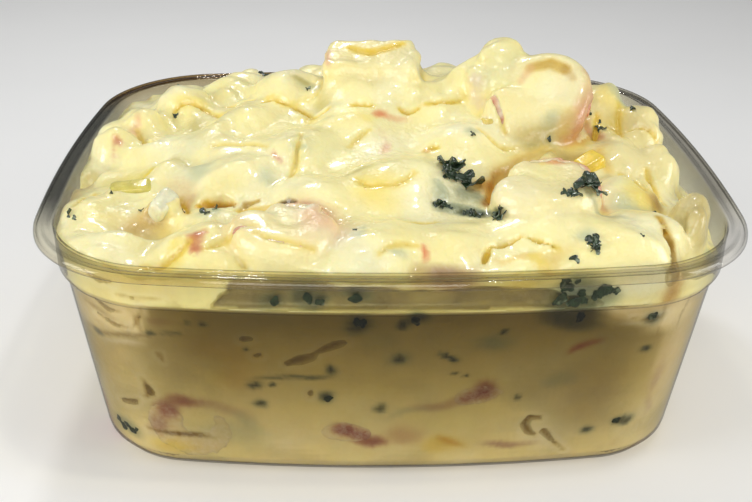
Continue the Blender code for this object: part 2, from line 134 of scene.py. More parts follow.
LUMPS = rows(
    Lump,
    # Left end, from the front to the back.
    (-63, -52, 1.0, (13, 10, 8), 25), (-70, -35, 1.5, (8, 13, 8)), (-71, 1, 5.0, (6, 6, 7)),
    (-65, 12, 4.5, (7, 7, 8), 30), (-73, 11, 3.0, (5, 6, 7)), (-55, 21, 3.5, (9, 8, 8), -20),
    (-57, -3, 1.0, (9, 9, 7)), (-53, -20, 1.0, (8, 9, 6), 15),
    # Left of the middle.
    (-46, -6, 1.5, (9, 10, 7)), (-36, 7, 1.0, (10, 9, 7), 20), (-38, -21.5, 0.8, (13, 9, 7)),
    (-42, 31, 1.5, (11, 10, 8)), (-26, 22, 2.5, (11, 9, 8), -15), (-21, -11, 1.5, (12, 10, 7), 25),
    (-17, -34, 1.0, (11, 8, 7), -20), (-42, -52, 1.5, (11, 9, 7)),
    # Middle.
    (-9, -2, 1.0, (12, 10, 8)), (-3, 8, 3.5, (14, 8, 9), -6), (3, -28, 2.0, (17, 13, 9), 10),
    (13, 7, 0.5, (11, 11, 8)), (17, -13, 2.0, (10, 10, 8), 30), (-4, -53, 2.0, (16, 10, 8)),
    (13, -53, 1.0, (12, 10, 7)),
    # Right end, from the crest to the front.
    (26, 11, 5.5, (10, 9, 10)), (41, 9, 6.5, (11, 8, 10)), (38, -9, -0.5, (10, 8, 8)),
    (57, 9, 5.0, (8, 8, 9), 20), (66, 2, 6.5, (7, 9, 10)), (67, -14, 5.0, (6, 8, 9), -10),
    (57, -14, 2.0, (8, 8, 7)), (55, -32, 2.0, (8, 8, 7), 30), (35, -21, 0.5, (5, 5, 5)),
    (43, -55, 4.0, (19, 10, 9), -4), (26, -60, 0.5, (8, 5, 5)), (37, -50, 3.4, (19, 8, 8), -3),
    (55, -46, 3.5, (10, 9, 8)), (68, -40, 8.0, (4.5, 9, 11), -8, 10),
)
BLOCK_CENTRE = (-3.9, 16.5, 74.3)
BLOCK_SIZE = (25.2, 15, 17)
BLOCK_TURNS = (16, -3, -6)
BLOCK_ROUNDING = 2.5
PEAK_CENTRE = (31, 11, 76.6)
PEAK_SIZE = (6.6, 8.0, 10.6)
# The ridge beside the peak and the knobs on it, as (x, y, z, radius).
PEAK_RIDGE = ((30, 11, 77, 5.5), (23, 11, 74.5, 4.5), (15, 12, 71, 4.5))
RIDGE_BOX = ((8, 0, 62), (40, 22, 90))
PEAK_KNOBS = (
    (27.2, 8.5, 82.5, 3.4), (34.2, 8.0, 80.5, 3.8), (23.4, 6.5, 77.5, 3.6), (29.5, 4.5, 78.0, 3.4),
)

# Lumps on the far slope, in two rows.
FAR_SEED = 11
FAR_ROWS = (38, 53)
FAR_SPACING = 19
FAR_REACH = 66
FAR_RISE = 0.5
FAR_SIZE = (10.5, 10.5, 8.5)
FAR_JITTER = 3.0

# Hollows cut into the heap: place, top above the slope, half sizes and turn.
HOLLOWS = (
    Lump(-55, -43.5, 3.0, (7.0, 5.6, 4.6), 20),
    Lump(-76, -11.5, 1.0, (3.6, 4.2, 4.5)),
)

# A curled shrimp, as its solid has it.
CURL_RADIUS = 7.4
CURL_CLOSING = 1.2
BODY_RADIUS = 4.6
TAIL_RADIUS = 2.0
CURL_TURN = math.radians(285)
TAPER_POWER = 1.5
SHRIMP_SEGMENTS = 7
SEGMENT_STEP = 0.10


class Placed(NamedTuple):
    """Where a shrimp lies: its centre, the direction that its flat side faces and its spin.

    Bare spots, where the dressing leaves its back clear, are (x, y, z, radius). Flat is how
    much of its thickness is left, and blush the direction in which its back shines through.
    """

    centre: tuple
    facing: tuple
    spin: float
    scale: float
    bare: tuple
    flat: float = 1.0
    blush: tuple = (0, 0, 1)


# On the heap the third number of a centre is its height above the heap's mean surface.
TOP_SHRIMPS = {
    "shrimp_back": Placed(
        (38.9, -1.6, 3.5), (-0.25, -0.60, 0.76), 200, 1.24,
        ((53.0, -3, 77, 3.5), (51.5, -8, 73, 3.5)), 0.66, (0.75, -0.45, -0.5),
    ),
    "shrimp_right": Placed(
        (35.0, -36.5, 0.2), (-0.05, -0.12, 0.99), 215, 1.18,
        ((35, -28, 69, 3.5), (41, -29, 69, 4.0), (46, -34, 68, 4.0), (47, -40, 67, 3.5)),
        0.8, (0.5, 0.8, 0.1),
    ),
    "shrimp_left": Placed(
        (-23.5, -50.0, -0.8), (0.0, -0.14, 0.99), 190, 1.04,
        ((-22, -43, 63, 4.0), (-15.5, -47, 62, 3.5), (-29, -42, 62, 3.0)), 0.7, (0.5, 0.8, 0.2),
    ),
}
WALL_SHRIMPS = {
    "shrimp_wall_left": Placed((-46.0, -55.2, 14.5), (0.0, -1.0, 0.05), 170, 0.95, ()),
    "shrimp_wall_middle": Placed((-10.0, -51.0, 13.5), (0.1, 0.0, 1.0), 130, 0.95, ()),
    "shrimp_wall_right": Placed((19.5, -52.2, 25.0), (-0.2, 0.0, 1.0), 140, 0.9, ()),
}

# How the salad's surface is made: the grid, and how far it reaches into the wall.
STEP = 0.8
SALAD_GRID = ((-82, -68, -1), (82, 68, 92))
BITE = 0.2
EDGE_ROUNDING = 1.6
TALLEST = 88.5
MOST_TRIANGLES = 190000
RIM_LEAN = 0.45
COAT = 0.8
# Below the ledge, away from the front, the surface may have fewer faces.
PLAIN_BELOW = LEDGE - 2
PLAIN_BEHIND = 22 - HALF_DEPTH

# Over how far one shape melts into the next.
LUMP_MELT = 3.2
BLOCK_MELT = 4.5
KNOB_MELT = 1.6
FILLING_MELT = 2.0
COAT_MELT = 1.6
BARE_MELT = 0.5
CHUNK_MELT = 2.6
HOLLOW_MELT = 1.2
GROOVE_MELT = 0.8
CUT_MELT = 0.7
SHARP_MELT = 0.3
SLAB_MELT = 0.9

# Grids of the single pieces, and the fine grain on them.
SHRIMP_STEP = 0.5
SHRIMP_GRAIN = 0.12
CHUNK_STEP = 0.45
CHUNK_GRAIN = 0.34


class Wave(NamedTuple):
    """Unevenness of one size: its cells along the three axes, its height and its seed."""

    cells: tuple
    height: float
    seed: int


FOLDS = (
    Wave((10, 9, 9), 1.1, 3),
    Wave((5.5, 4.5, 4.5), 1.0, 4),
    Wave((3.0, 2.4, 2.4), 0.44, 5),
)
RIPPLES = Wave((2.0, 1.8, 1.8), 0.06, 6)

# Finer noises: the cells along the three axes, and the seed.
SPECKLES = ((3.2, 3.2, 2.6), 22)
NECK_PATCHES = ((9, 9, 6), 21)
NECK_RAGS = ((3, 3, 2.5), 23)
WARPS = (((4, 4, 4), 31), ((4, 4, 4), 32))
MOTTLE = ((7, 7, 6), 33)
GRAIN = ((2.4, 2.4, 2.4), 34)
CLOUDS = ((6, 6, 5), 35)
WALL_PATCHES = ((9, 9, 6), 36)
SIDE_CELLS = (8, 8, 4.5)
SIDE_SEED = 40
SHRIMP_CELLS = (2.2, 2.2, 2.2)
TOP_SHRIMP_SEED = 80
WALL_SHRIMP_SEED = 90
CHUNK_CELLS = (2.8, 2.8, 2.8)
CHUNK_SEED = 60

# Where the heap is smooth, and by how much.
CALM_CENTRE = (6, -30)
CALM_SIZE = (28, 34)
CALMNESS = 0.7

# Colours.
CREAM = (0.975, 0.94, 0.71)
WALL_SHADE = (0.78, 0.70, 0.46)
POCKET_SHADE = (0.56, 0.44, 0.17)
PALE_PATCH = (0.95, 0.90, 0.68)
DIM_PATCH = (0.66, 0.63, 0.46)
NECK_SHADE = (0.50, 0.43, 0.25)
TEAL = (0.42, 0.48, 0.40)
DARK_TEAL = (0.27, 0.32, 0.26)
BUTTER = (0.95, 0.86, 0.44)
PAINTED_CREASE_SHADE = (0.89, 0.76, 0.26)
GOLD = (0.82, 0.60, 0.14)
OLIVE = (0.66, 0.62, 0.34)
SAGE = (0.70, 0.74, 0.62)
WHITE = (0.97, 0.955, 0.86)
SALMON = (0.86, 0.52, 0.34)
PINK = (0.85, 0.58, 0.50)
RED = (0.70, 0.30, 0.24)
BROWN = (0.55, 0.30, 0.10)
MAUVE = (0.66, 0.50, 0.42)
PLUM = (0.58, 0.30, 0.26)
LILAC = (0.83, 0.74, 0.72)
BEIGE = (0.84, 0.72, 0.52)
AMBER = (0.86, 0.68, 0.12)
PAINTED_HOLLOW_SHADE = (0.58, 0.38, 0.10)
SLIT = (0.22, 0.09, 0.04)
DARK_GREEN = (0.12, 0.18, 0.11)
LEAF_GREEN = (0.21, 0.29, 0.19)
LEAF_FILM = (0.66, 0.71, 0.60)
FLESH = (0.94, 0.86, 0.67)
SHELL_PINK = (0.85, 0.54, 0.42)
SHELL_RED = (0.74, 0.42, 0.31)
BLUSH = (0.70, 0.41, 0.30)


class Stain(NamedTuple):
    """Colour that shows through the dressing: its place, its half sizes and its strength."""

    x: float
    y: float
    size: tuple
    colour: tuple
    strength: float
    turn: float = 0.0


# Stains on the top of the heap, some of them painted shade as marked below.
TOP_STAINS = rows(
    Stain,
    # Left end.
    (-67, 5, (1.8, 2.4), PINK, 0.35), (-70, -4, (1.0, 1.0), RED, 0.45),
    (-53, 16, (5, 2), BUTTER, 0.5), (-61, -18, (9, 3.5), (0.85, 0.79, 0.40), 0.8, 6),
    # The first stain on the next line is painted shade in the hollow at the left.
    (-56.5, -41, (6, 5), (0.81, 0.70, 0.45), 0.85), (-49, -29, (3.5, 3), (0.88, 0.76, 0.55), 0.8),
    (-64, -27, (5, 2), (0.90, 0.84, 0.56), 0.6, 30), (-51, 6, (2, 6), OLIVE, 0.35, 20),
    (-43, 10, (6, 2), (0.93, 0.85, 0.50), 0.6, -20), (-46, -23, (4.0, 3.5), SAGE, 0.55),
    (-42.8, -56.8, (0.9, 1.5), RED, 0.7), (-49, -58, (5, 2), BUTTER, 0.6, 20),
    (-42, -38, (3, 2.5), SAGE, 0.6), (-36, -52, (7, 3.5), BEIGE, 0.3, -10),
    # Left of the middle.
    (-27, -20, (0.7, 1.8), RED, 0.4, 20), (-30, -27, (3, 3), SAGE, 0.45),
    (-27, 11, (7, 1.4), BUTTER, 0.6, -15), (-20, 2, (4, 1.4), BUTTER, 0.6, -50),
    (-18, 6, (2.5, 1.5), OLIVE, 0.45), (-21, 15, (3, 2), SAGE, 0.7),
    (-23, 16, (2.5, 1.2), OLIVE, 0.6), (-22, -18, (3, 1.2), SAGE, 0.5, -20),
    (-9, -53, (1.2, 1.0), SAGE, 0.5),
    # Middle.
    (-16, 12, (1.2, 2.6), PINK, 0.6), (-1.5, -3, (2.0, 1.8), SALMON, 0.75),
    (2, -4, (3.4, 2.0), SALMON, 0.3), (-6, -5, (3.5, 3), BUTTER, 0.3),
    (-3.5, -14, (1.4, 3.2), PINK, 0.4), (-4, -36, (5, 4), BUTTER, 0.45),
    (-7, -29, (4, 1.5), OLIVE, 0.5), (10, -19, (1.2, 1.2), GOLD, 0.7),
    (4, -46, (2.2, 1.0), BUTTER, 0.5), (-1, -60, (3, 1.2), SAGE, 0.5),
    (23.5, 3, (1.8, 1.6), LILAC, 0.35), (20, -17, (2.0, 1.2), SAGE, 0.6),
    (15, -40, (6, 2.5), SAGE, 0.65, -20), (19, -36.5, (5.0, 2.0), TEAL, 0.45, -25),
    (11, -36, (3.5, 1.2), SAGE, 0.7, -10), (15, -42.0, (6.0, 0.8), TEAL, 0.6, -18),
    (47, -48, (5, 2.0), TEAL, 0.35, -15), (39, -57.5, (2.5, 2.0), SAGE, 0.6),
    (7, -60, (0.8, 2.0), SALMON, 0.8),
    # Right end.
    # The second stain on the next line, and the one after it, are painted shade in the recess under
    # the disc.
    (39, -14, (3.5, 2.5), SAGE, 0.6), (37, -16.5, (6, 3.5), (0.74, 0.67, 0.40), 0.85),
    (45, -16.0, (4, 2.5), (0.80, 0.71, 0.40), 0.8),
    # The next two stains are painted shade along the valley beside the shrimp at the right.
    (28, -24, (3.4, 8), (0.87, 0.77, 0.44), 0.75, -38),
    (23.5, -30.0, (2.6, 5), (0.70, 0.47, 0.12), 0.85, -38),
    (52.8, -4.5, (2.0, 5.5), (0.70, 0.37, 0.28), 0.8), (40, -31.5, (5.0, 1.7), SALMON, 0.65, -8),
    (45.5, -36, (1.7, 4.5), SALMON, 0.65, 10), (-4, 16, (16, 11), (0.91, 0.86, 0.64), 0.5),
    (-17, -50, (6, 7), (0.92, 0.76, 0.61), 0.75), (-20, -46, (2.0, 1.6), WHITE, 0.6),
    # Painted shade on the next line: the right end darker, and the right side of its last lump.
    (62, -6, (11, 22), (0.88, 0.83, 0.59), 0.7), (70, -44, (6, 10), (0.75, 0.69, 0.46), 0.85),
    (36, -31, (2.5, 1.8), BUTTER, 0.6), (60, 3, (3.0, 6), BUTTER, 0.45),
    (62, 7, (2.0, 4), SAGE, 0.6), (54, -40, (7, 3), SAGE, 0.5, -15),
    (61, -34, (2.2, 2.2), BROWN, 0.75), (59, -35, (5, 6), BUTTER, 0.6), (52, -19, (3, 3), GOLD, 0.5),
    (26, -60, (8, 1.6), GOLD, 0.3), (29, -60, (2, 1.2), BUTTER, 0.7),
)

# Stains that show through the front wall, some of them painted shade and one a painted highlight, as
# marked below: here y stands for the height.
WALL_STAINS = rows(
    Stain,
    (11, 57, (5.2, 3.6), (0.58, 0.44, 0.34), 0.9), (4.5, 57, (3, 3.0), (0.74, 0.62, 0.36), 0.6),
    # The second stain on the next line is painted shade in the pocket at the right corner.
    (26, 56, (5, 2.4), BUTTER, 0.6), (60, 52, (2.2, 5), (0.62, 0.42, 0.12), 0.85),
    (41, 52, (7, 4.5), TEAL, 0.8), (37, 55, (4.2, 2.6), TEAL, 0.75, 12),
    (44, 53.6, (4.6, 1.8), DARK_TEAL, 0.85, -10), (36.5, 51.5, (3.6, 3.2), DARK_TEAL, 0.8, 20),
    (41, 50.5, (3.4, 2.0), TEAL, 0.6), (38, 46.5, (6.5, 3.0), DARK_TEAL, 0.9, -6),
    (-12, 50, (8, 3.0), OLIVE, 0.3), (-38, 37, (8, 4), GOLD, 0.22, -8),
    (-35, 30, (6, 3.5), GOLD, 0.20), (-51, 45, (3, 1.2), MAUVE, 0.4),
    (-52, 6.5, (5, 2.6), BUTTER, 0.9),
    # The arc of the shrimp at the left, and its faint tail.
    (-55, 13.5, (2.6, 3.6), MAUVE, 0.7, -15), (-52, 18.5, (2.8, 2.6), PLUM, 0.75),
    (-47.5, 21.5, (3.6, 2.0), PLUM, 0.8, 8), (-40, 19.5, (7, 1.8), MAUVE, 0.35, -22),
    (-34, 15.5, (5, 2.0), SAGE, 0.4, -30),
    # The shrimp below the middle.
    (-11.5, 14.5, (2.6, 1.8), PLUM, 0.9), (-8, 12.8, (4.6, 1.9), PLUM, 0.85, -24),
    (-4.5, 11, (2.4, 1.3), PLUM, 0.7, -20),
    # The shrimp right of the middle, and its grey trail.
    (20.5, 26, (2.6, 2.4), PLUM, 0.95), (17.5, 24.3, (2.8, 1.6), PLUM, 0.8, 20),
    (11, 22, (7, 1.5), MAUVE, 0.5, 14), (3, 20, (5, 1.0), SAGE, 0.4, 10),
    (42, 38.5, (3.6, 1.4), RED, 0.55, 16), (40, 37.5, (2.0, 0.8), RED, 0.45, 16),
    (27, 9.5, (6.0, 1.2), MAUVE, 0.75, 3), (1.5, 13, (4.6, 3.4), BEIGE, 0.9),
    (11, 9.5, (4.5, 2.4), BUTTER, 0.9), (13, 10, (3.0, 1.0), GOLD, 0.6, -25),
    (22, 40, (4.6, 2.4), SAGE, 0.8), (38, 28, (3.2, 2.0), SAGE, 0.8), (0, 36, (3.5, 2), SAGE, 0.5),
    (-3, 41, (3.5, 3), SAGE, 0.35), (62, 25, (1.2, 4.5), MAUVE, 0.5, -8),
    (61, 17, (1.2, 3), MAUVE, 0.3), (-14, 45, (10, 3), OLIVE, 0.25), (8, 47, (12, 2.5), OLIVE, 0.3),
    (-22, 30, (8, 0.7), DARK_TEAL, 0.75), (-40, 12, (10, 3.5), SAGE, 0.25),
    # Pale folds at both corners, painted shade in a slit under the shrimp at the left, and painted
    # shadows between the folds at the left.
    (-57, 44, (3.5, 3.2), (0.94, 0.89, 0.66), 0.75, 20),
    (-64, 48, (5, 2.4), (0.90, 0.84, 0.58), 0.6), (-66, 30, (5, 9), (0.90, 0.83, 0.58), 0.5),
    (50, 46.6, (7, 2.2), (0.92, 0.86, 0.66), 0.7, 4), (58, 45, (3, 4), (0.95, 0.90, 0.72), 0.7, -10),
    (53, 56, (8, 4.5), (0.86, 0.85, 0.74), 0.85), (-58, 53, (9, 4), (0.90, 0.83, 0.57), 0.65),
    (64, 30, (4, 12), (0.92, 0.86, 0.68), 0.6), (45, 22, (9, 12), (0.70, 0.64, 0.45), 0.65),
    (-49, 36, (5, 8), (0.90, 0.83, 0.58), 0.4),
    (-50, 11.0, (6.5, 0.75), (0.48, 0.36, 0.07), 1.0, -2),
    (-62, 43, (9, 4), (0.97, 0.93, 0.72), 0.75), (-57, 44, (0.8, 2.8), (0.60, 0.48, 0.22), 0.7, 8),
    (-65, 44.5, (4, 0.8), (0.62, 0.52, 0.28), 0.6, -14),
    (-61, 39.2, (8, 0.7), (0.56, 0.48, 0.27), 0.6, 12), (-61, 36.8, (5, 0.9), WHITE, 0.8, 8),
    (-66.5, 37.6, (1.0, 0.8), DARK_TEAL, 0.8), (-53.4, 41.2, (1.7, 0.8), DARK_TEAL, 0.7),
    (-49.0, 41.2, (1.6, 0.8), DARK_TEAL, 0.65), (-64, 9, (4.2, 2.4), TEAL, 0.55),
    # The corner at the right, where the heap stands back above its own edge: paler there, with a
    # painted highlight along the edge and two thin dark lines.
    (61, 44, (6, 4.2), (0.97, 0.94, 0.78), 0.8), (51, 43.6, (3.6, 0.6), WHITE, 0.85, -14),
    (59.4, 44, (0.35, 4.2), (0.62, 0.54, 0.34), 0.7),
    (64.6, 44, (0.35, 4.2), (0.62, 0.54, 0.34), 0.6),
)


class Groove(NamedTuple):
    """A crease between two points: its sag at the middle, half width, depth and yellow, the strength
    of its painted shade.
    """

    start: tuple
    end: tuple
    sag: float
    width: float
    depth: float
    tint: float


# Creases in the dressing on top of the heap.
GROOVES = rows(
    Groove,
    # Below the crest.
    ((-9.3, 1.0), (-4.1, 0.4), 0.4, 0.8, 1.6, 0.9), ((3, 1), (8, 0), -0.5, 0.7, 1.6, 0.9),
    ((10, 1), (19, 4), -0.6, 0.6, 1.4, 0.9), ((-33, 12), (-26, 10), 1.5, 0.9, 1.8, 0.9),
    ((-26, 10), (-19, 2), 1.0, 0.8, 1.6, 0.9), ((-19, 2), (-15, 3), -0.4, 0.8, 1.6, 0.7),
    ((-44, 17), (-36, 16), -0.4, 0.7, 1.4, 0.7),
    # Left end.
    ((-57, 15), (-48, 14), 1.5, 0.9, 1.8, 0.9), ((-48, 14), (-43, 7), 0.8, 0.7, 1.2, 0.5),
    ((-66, 6), (-60, -5), -1.2, 0.7, 1.6, 0.5), ((-66, -20), (-54, -15), -1.2, 0.8, 1.8, 0.8),
    ((-50, -30), (-47, -38), 0.8, 0.8, 2.0, 0.9), ((-36, -37), (-25, -40), -0.6, 0.6, 1.4, 0.9),
    ((-54, -58), (-44, -55), -1.4, 0.8, 1.6, 0.8), ((-41, -57), (-30, -54), 1.4, 0.6, 1.2, 0.5),
    ((-71, -25), (-73, -36), 0.8, 0.6, 1.6, 0.7), ((-44, -13), (-30, -16), 1.6, 0.5, 1.0, 0.4),
    ((-24, -28), (-22, -12), -1.6, 0.6, 1.2, 0.5),
    # Middle.
    ((-9, -32), (-2, -36), -1.2, 0.5, 1.0, 0.6), ((-2, -36), (5, -33), -1.2, 0.5, 1.0, 0.6),
    ((-8, -25), (-1, -26), 0.8, 0.5, 1.0, 0.4), ((10, -18.5), (11.5, -19.3), 0.6, 0.8, 1.6, 1.0),
    ((4, -47), (9, -46.5), -0.8, 0.4, 0.8, 0.6), ((-10, -14), (-5, -9), 0.8, 0.5, 1.0, 0.5),
    ((-30, -57), (-18, -60), -1.0, 0.6, 1.0, 0.5), ((-4, -60), (4, -57), 1.0, 0.5, 1.0, 0.5),
    # Right end.
    ((18, -61), (20, -56), 0.3, 0.8, 2.2, 1.0), ((20, -56), (27, -54.5), 0.3, 0.7, 2.2, 0.9),
    ((27, -54.5), (34, -59), 0.6, 0.6, 1.8, 0.9), ((56, -22), (59, -33), 1.0, 0.9, 2.2, 0.8),
    ((52, -9), (55, 2), -1.0, 0.9, 2.4, 0.9), ((59, -10), (61, 5), -0.5, 0.6, 1.6, 0.7),
    ((63, -20), (65, -31), 0.5, 0.7, 1.8, 0.7), ((62, -4), (69, -6), 0.6, 0.6, 1.6, 0.6),
    ((26, -1), (29, -11), 0.8, 0.7, 1.6, 0.5), ((22, -13), (31, -16), -0.6, 0.6, 1.4, 0.5),
)
GROOVE_POINTS = 5


class Cut(NamedTuple):
    """A hollow along a run of (x, y, radius), or of (x, y, z, radius) off the top surface."""

    run: tuple
    colour: tuple
    strength: float = 0.9
    steep: float = 1.0

    def sharp(self):
        return self.steep >= 1.5


CUTS = rows(
    Cut,
    # The crease along the block's top, and the crescent on the disc at the back, both coloured with
    # painted shade.
    (((-10, 17.8, 82.4, 0.3), (-6.5, 15.8, 82.1, 0.8), (-3.9, 15, 82, 0.9)), PAINTED_CREASE_SHADE),
    (((-3.9, 15, 82, 0.9), (0, 16, 82.6, 0.7), (4.4, 18, 83.1, 0.3)), PAINTED_CREASE_SHADE),
    (((36.2, 1.4, 82.5, 0.4), (41.1, 0.7, 84, 0.7), (44.4, -2, 83.3, 0.7)), (0.80, 0.66, 0.30)),
    (((44.4, -2, 83.3, 0.6), (46.0, -4.8, 81.7, 0.2)), PAINTED_HOLLOW_SHADE, 0.25),
    (((33.4, -1.0, 79.6, 0.2), (36.2, 1.4, 82.5, 0.4)), (0.88, 0.72, 0.52), 0.6),
    # The golden valley beside the shrimp at the right, its gold painted shade.
    (((22.0, -39, 1.4), (23.6, -35.5, 2.2)), PAINTED_HOLLOW_SHADE, 0.95, 1.3),
    (((23.6, -35.5, 2.2), (27.4, -28, 3.4)), (0.86, 0.66, 0.24), 0.9),
    (((27.4, -28, 3.4), (33.5, -21.5, 3.2), (38.5, -17, 1.4)), (0.88, 0.77, 0.42), 0.9),
    # Holes at the left, coloured inside with painted shade.
    (((-45.2, -34.4, 0.2), (-42.8, -33.9, 2.1), (-40.4, -33.8, 2.8)), AMBER, 1.0, 1.6),
    (((-40.4, -33.8, 2.8), (-38.4, -34.2, 1.8), (-36.8, -35.0, 0.2)), (0.80, 0.57, 0.10), 1.0, 1.6),
    (((-42.8, -33.6, 58.4, 0.3), (-40.2, -33.6, 58.0, 1.9), (-38.0, -34.0, 58.6, 0.5)), PAINTED_HOLLOW_SHADE, 0.9),
    (((-34.6, -36.6, 0.3), (-33.6, -34.8, 0.7), (-31.4, -34.4, 0.2)), (0.76, 0.62, 0.28), 0.95, 1.6),
    (((-34.2, -37.2, 0.3), (-30, -37.8, 0.4), (-26.4, -37.8, 0.2)), (0.90, 0.79, 0.42), 0.9, 1.2),
    (((-26.0, -37.8, 0.1), (-24.3, -38.2, 0.7), (-22.8, -38.9, 0.1)), SLIT, 1.0, 2.0),
    # The wedge before the lump at the right end, coloured with painted shade.
    (((58.4, -48, 63.5, 0.3), (59.0, -54, 60.5, 0.9)), (0.76, 0.60, 0.20), 0.9),
    (((59.0, -54, 60.5, 0.9), (59.4, -60, 56, 1.2), (59.6, -62, 53, 0.9)), (0.62, 0.48, 0.14), 0.95),
    # The pink arc of the shrimp at the right.
    (((36.4, -31.0, 0.15), (40.0, -30.6, 0.5), (43.4, -32.6, 0.6)), (0.84, 0.50, 0.36), 0.9, 0.7),
    (((43.4, -32.6, 0.6), (45.8, -36.6, 0.5), (47.0, -40.0, 0.15)), (0.86, 0.60, 0.44), 0.8, 0.7),
    # A streak of dressing before the herbs, and a dark one in front of it.
    (((9.5, -39.6, 0.15), (14, -39.8, 0.35), (22, -44, 0.3)), TEAL, 0.8, 0.6),
    (((15.5, -41.8, 0.2), (19, -43.4, 0.3), (22.6, -45.2, 0.2)), DARK_GREEN, 0.8, 0.6),
)

# Air pockets against the front wall, as runs of (x, height, half width).
AIR_POCKETS = (
    ((-68, 55, 0.3), (-64, 53.8, 0.6), (-60, 54.2, 0.3)),
    ((-60, 51.5, 0.3), (-55.5, 51.0, 0.5), (-50, 51.6, 0.2)),
    ((44, 49.0, 0.3), (49, 48.4, 0.6), (54, 48.8, 0.3)),
    ((-55.0, 48.5, 0.2), (-56, 45, 0.7), (-58, 41.5, 0.3)),
    ((-66, 43, 0.3), (-62, 41.5, 0.6), (-58.5, 42, 0.3)),
    ((-66.5, 47.5, 0.3), (-63, 45.5, 0.6), (-60, 46, 0.3)),
    ((52, 45, 0.3), (56, 44, 0.7), (60, 44.6, 0.3)),
    ((-24, 34, 0.8), (-21.5, 34.8, 1.2), (-18.5, 36, 1.0)),
    ((-18.5, 36.8, 0.5), (-15.5, 38.4, 0.9), (-13, 39.6, 1.0), (-10.5, 40.6, 0.4)),
    ((-57.4, 27.5, 0.3), (-56.6, 25, 1.0), (-56.0, 23, 1.3), (-57.2, 21.6, 0.6)),
    ((-63.5, 17.5, 0.7), (-60.5, 18.6, 0.9), (-59.0, 20, 0.3)),
    ((-52.5, 35, 0.8), (-51.8, 33.2, 0.3)),
    ((-19, 25.5, 0.8), (-19.1, 24.6, 0.6)),
    ((34.5, 16.5, 0.6), (31.9, 16.8, 0.9), (30.9, 14.6, 1.0), (32.0, 12.2, 1.1), (34.0, 11.0, 0.6)),
    ((35.6, 12.2, 0.9), (38.0, 9.0, 0.8), (41.5, 5.4, 0.4)),
    ((-57.5, 11.2, 0.4), (-50, 10.7, 0.7), (-44.5, 11.6, 0.3)),
    ((-31, 36, 0.7), (-29.8, 36.3, 0.6)),
    ((-33.5, 40.5, 0.8), (-31.8, 40.7, 0.5)),
)
POCKET_DEPTH = 0.8

# Above the ledge the salad stands back from the front wall below this line of (x, height).
NECK_LINE = (
    (-75, 49), (-52, 49), (-47, 50.6), (-41, 50), (-36.5, 53.5), (-34, 61), (-18, 60.5), (-16, 57),
    (-11, 55.7), (4, 55.7), (14, 55.6), (24, 55.6), (33, 54.5), (36, 53), (43, 52), (46, 50), (75, 49),
)
NECK_DEPTH = 1.8


class Frills(NamedTuple):
    """A cluster of small curly leaves: its place, spread, leaf sizes, number and turn."""

    x: float
    y: float
    spread: tuple
    sizes: tuple
    count: int
    turn: float = 0.0
    lift: float = 0.0


TOP_HERBS = {
    "herb_crevice": (
        Frills(14.3, -28.8, (0.8, 1.0), (2.7, 3.4), 3, lift=0.8),
        Frills(17.0, -32.4, (1.4, 1.2), (2.2, 3.0), 3, lift=0.5),
        Frills(12.4, -31.6, (0.8, 1.0), (1.5, 2.2), 2, lift=0.3),
    ),
    "herb_trail": (
        Frills(12.5, -40.2, (2.4, 0.5), (0.8, 1.3), 3, -14),
        Frills(19.0, -43.2, (2.4, 0.5), (0.9, 1.4), 4, -25),
        Frills(23.2, -46.4, (0.6, 0.8), (1.4, 2.0), 3, lift=0.2),
    ),
    "herb_right": (
        Frills(43.4, -44.3, (1.2, 1.2), (2.4, 3.2), 4, 20, lift=0.5),
        Frills(38.8, -47.3, (1.8, 0.5), (1.0, 1.5), 4),
    ),
    "herb_front": (Frills(41.8, -60.0, (0.4, 2.0), (1.1, 1.7), 5, 8),),
}
WALL_HERB = (
    Frills(43, 53.2, (4.0, 1.2), (0.9, 1.5), 12),
    Frills(37.5, 51.0, (2.6, 2.0), (1.0, 1.6), 7),
    Frills(36, 55.0, (1.8, 1.4), (0.8, 1.3), 5),
    Frills(40.5, 46.2, (1.2, 0.6), (0.8, 1.1), 2),
)
# At the front wall a fleck is a leaf from this size on, and this much smaller than its stain.
LEAST_SHEET = 1.45
SHEET_SHARE = 0.7
# Seeds for where the leaves lie, and for their shapes.
TOP_HERB_SEED = 200
WALL_HERB_SEED = 300
FLECK_SEED = 77
WALL_LEAF_SEED = 3000
TOP_FLECK_SEED = 500
WALL_FLECK_SEED = 600
# How flat leaves lie against a wall, and how far they reach into it.
PRESSED = 0.12
LEAF_BITE = BITE + 0.05
FLECK_BITE = BITE + 0.03

# Single herb scraps on top of the heap, as (x, y, size).
TOP_FLECKS = (
    (-57, 14, 1.0), (-43, -39, 1.5), (-41, -37, 0.9), (-74, -39, 1.3), (-72, -41, 0.8),
    (-51, -32, 0.8), (-49, -33, 0.6), (-58, -36, 0.7), (20, -17, 0.9), (55, 0, 1.4),
    (55.5, -3, 1.1), (53, 2, 0.8), (39, -15, 0.9), (59, -43, 0.5), (37, -62, 1.1),
    (-66, -30, 0.5), (64, 1, 1.0), (-21, 15, 0.8), (-9, -53, 0.6), (52, -58, 0.5),
    (-35, 40, 1.4), (10, 48, 1.2), (38, 44, 1.5), (-12, 57, 1.0), (60, 38, 1.1), (-60, 45, 1.3),
)

# Herb scraps against the front wall, as (x, height, size).
WALL_FLECKS = (
    (-26, 52, 1.9), (-19, 53, 2.2), (-16.5, 52, 1.6), (-9, 53, 1.9), (-8, 46, 2.0), (57, 45, 1.8),
    (57, 35, 0.9), (1, 45, 1.1), (0, 36, 1.2), (12, 36, 1.1), (-31, 28, 1.1), (-27, 27.4, 0.7),
    (-31, 21, 1.2), (-15, 24, 1.5), (-14, 32, 1.3), (54, 14, 1.5), (56, 13, 1.1), (45, 11, 1.3),
    (28, 24, 0.8), (-33, 39, 0.6), (13.5, 31, 0.6), (4, 46.4, 1.6), (-42, 44.5, 0.8), (-46, 45, 0.6),
    (-3, 21.5, 0.9), (24, 43, 0.6), (16, 30, 0.5),
)
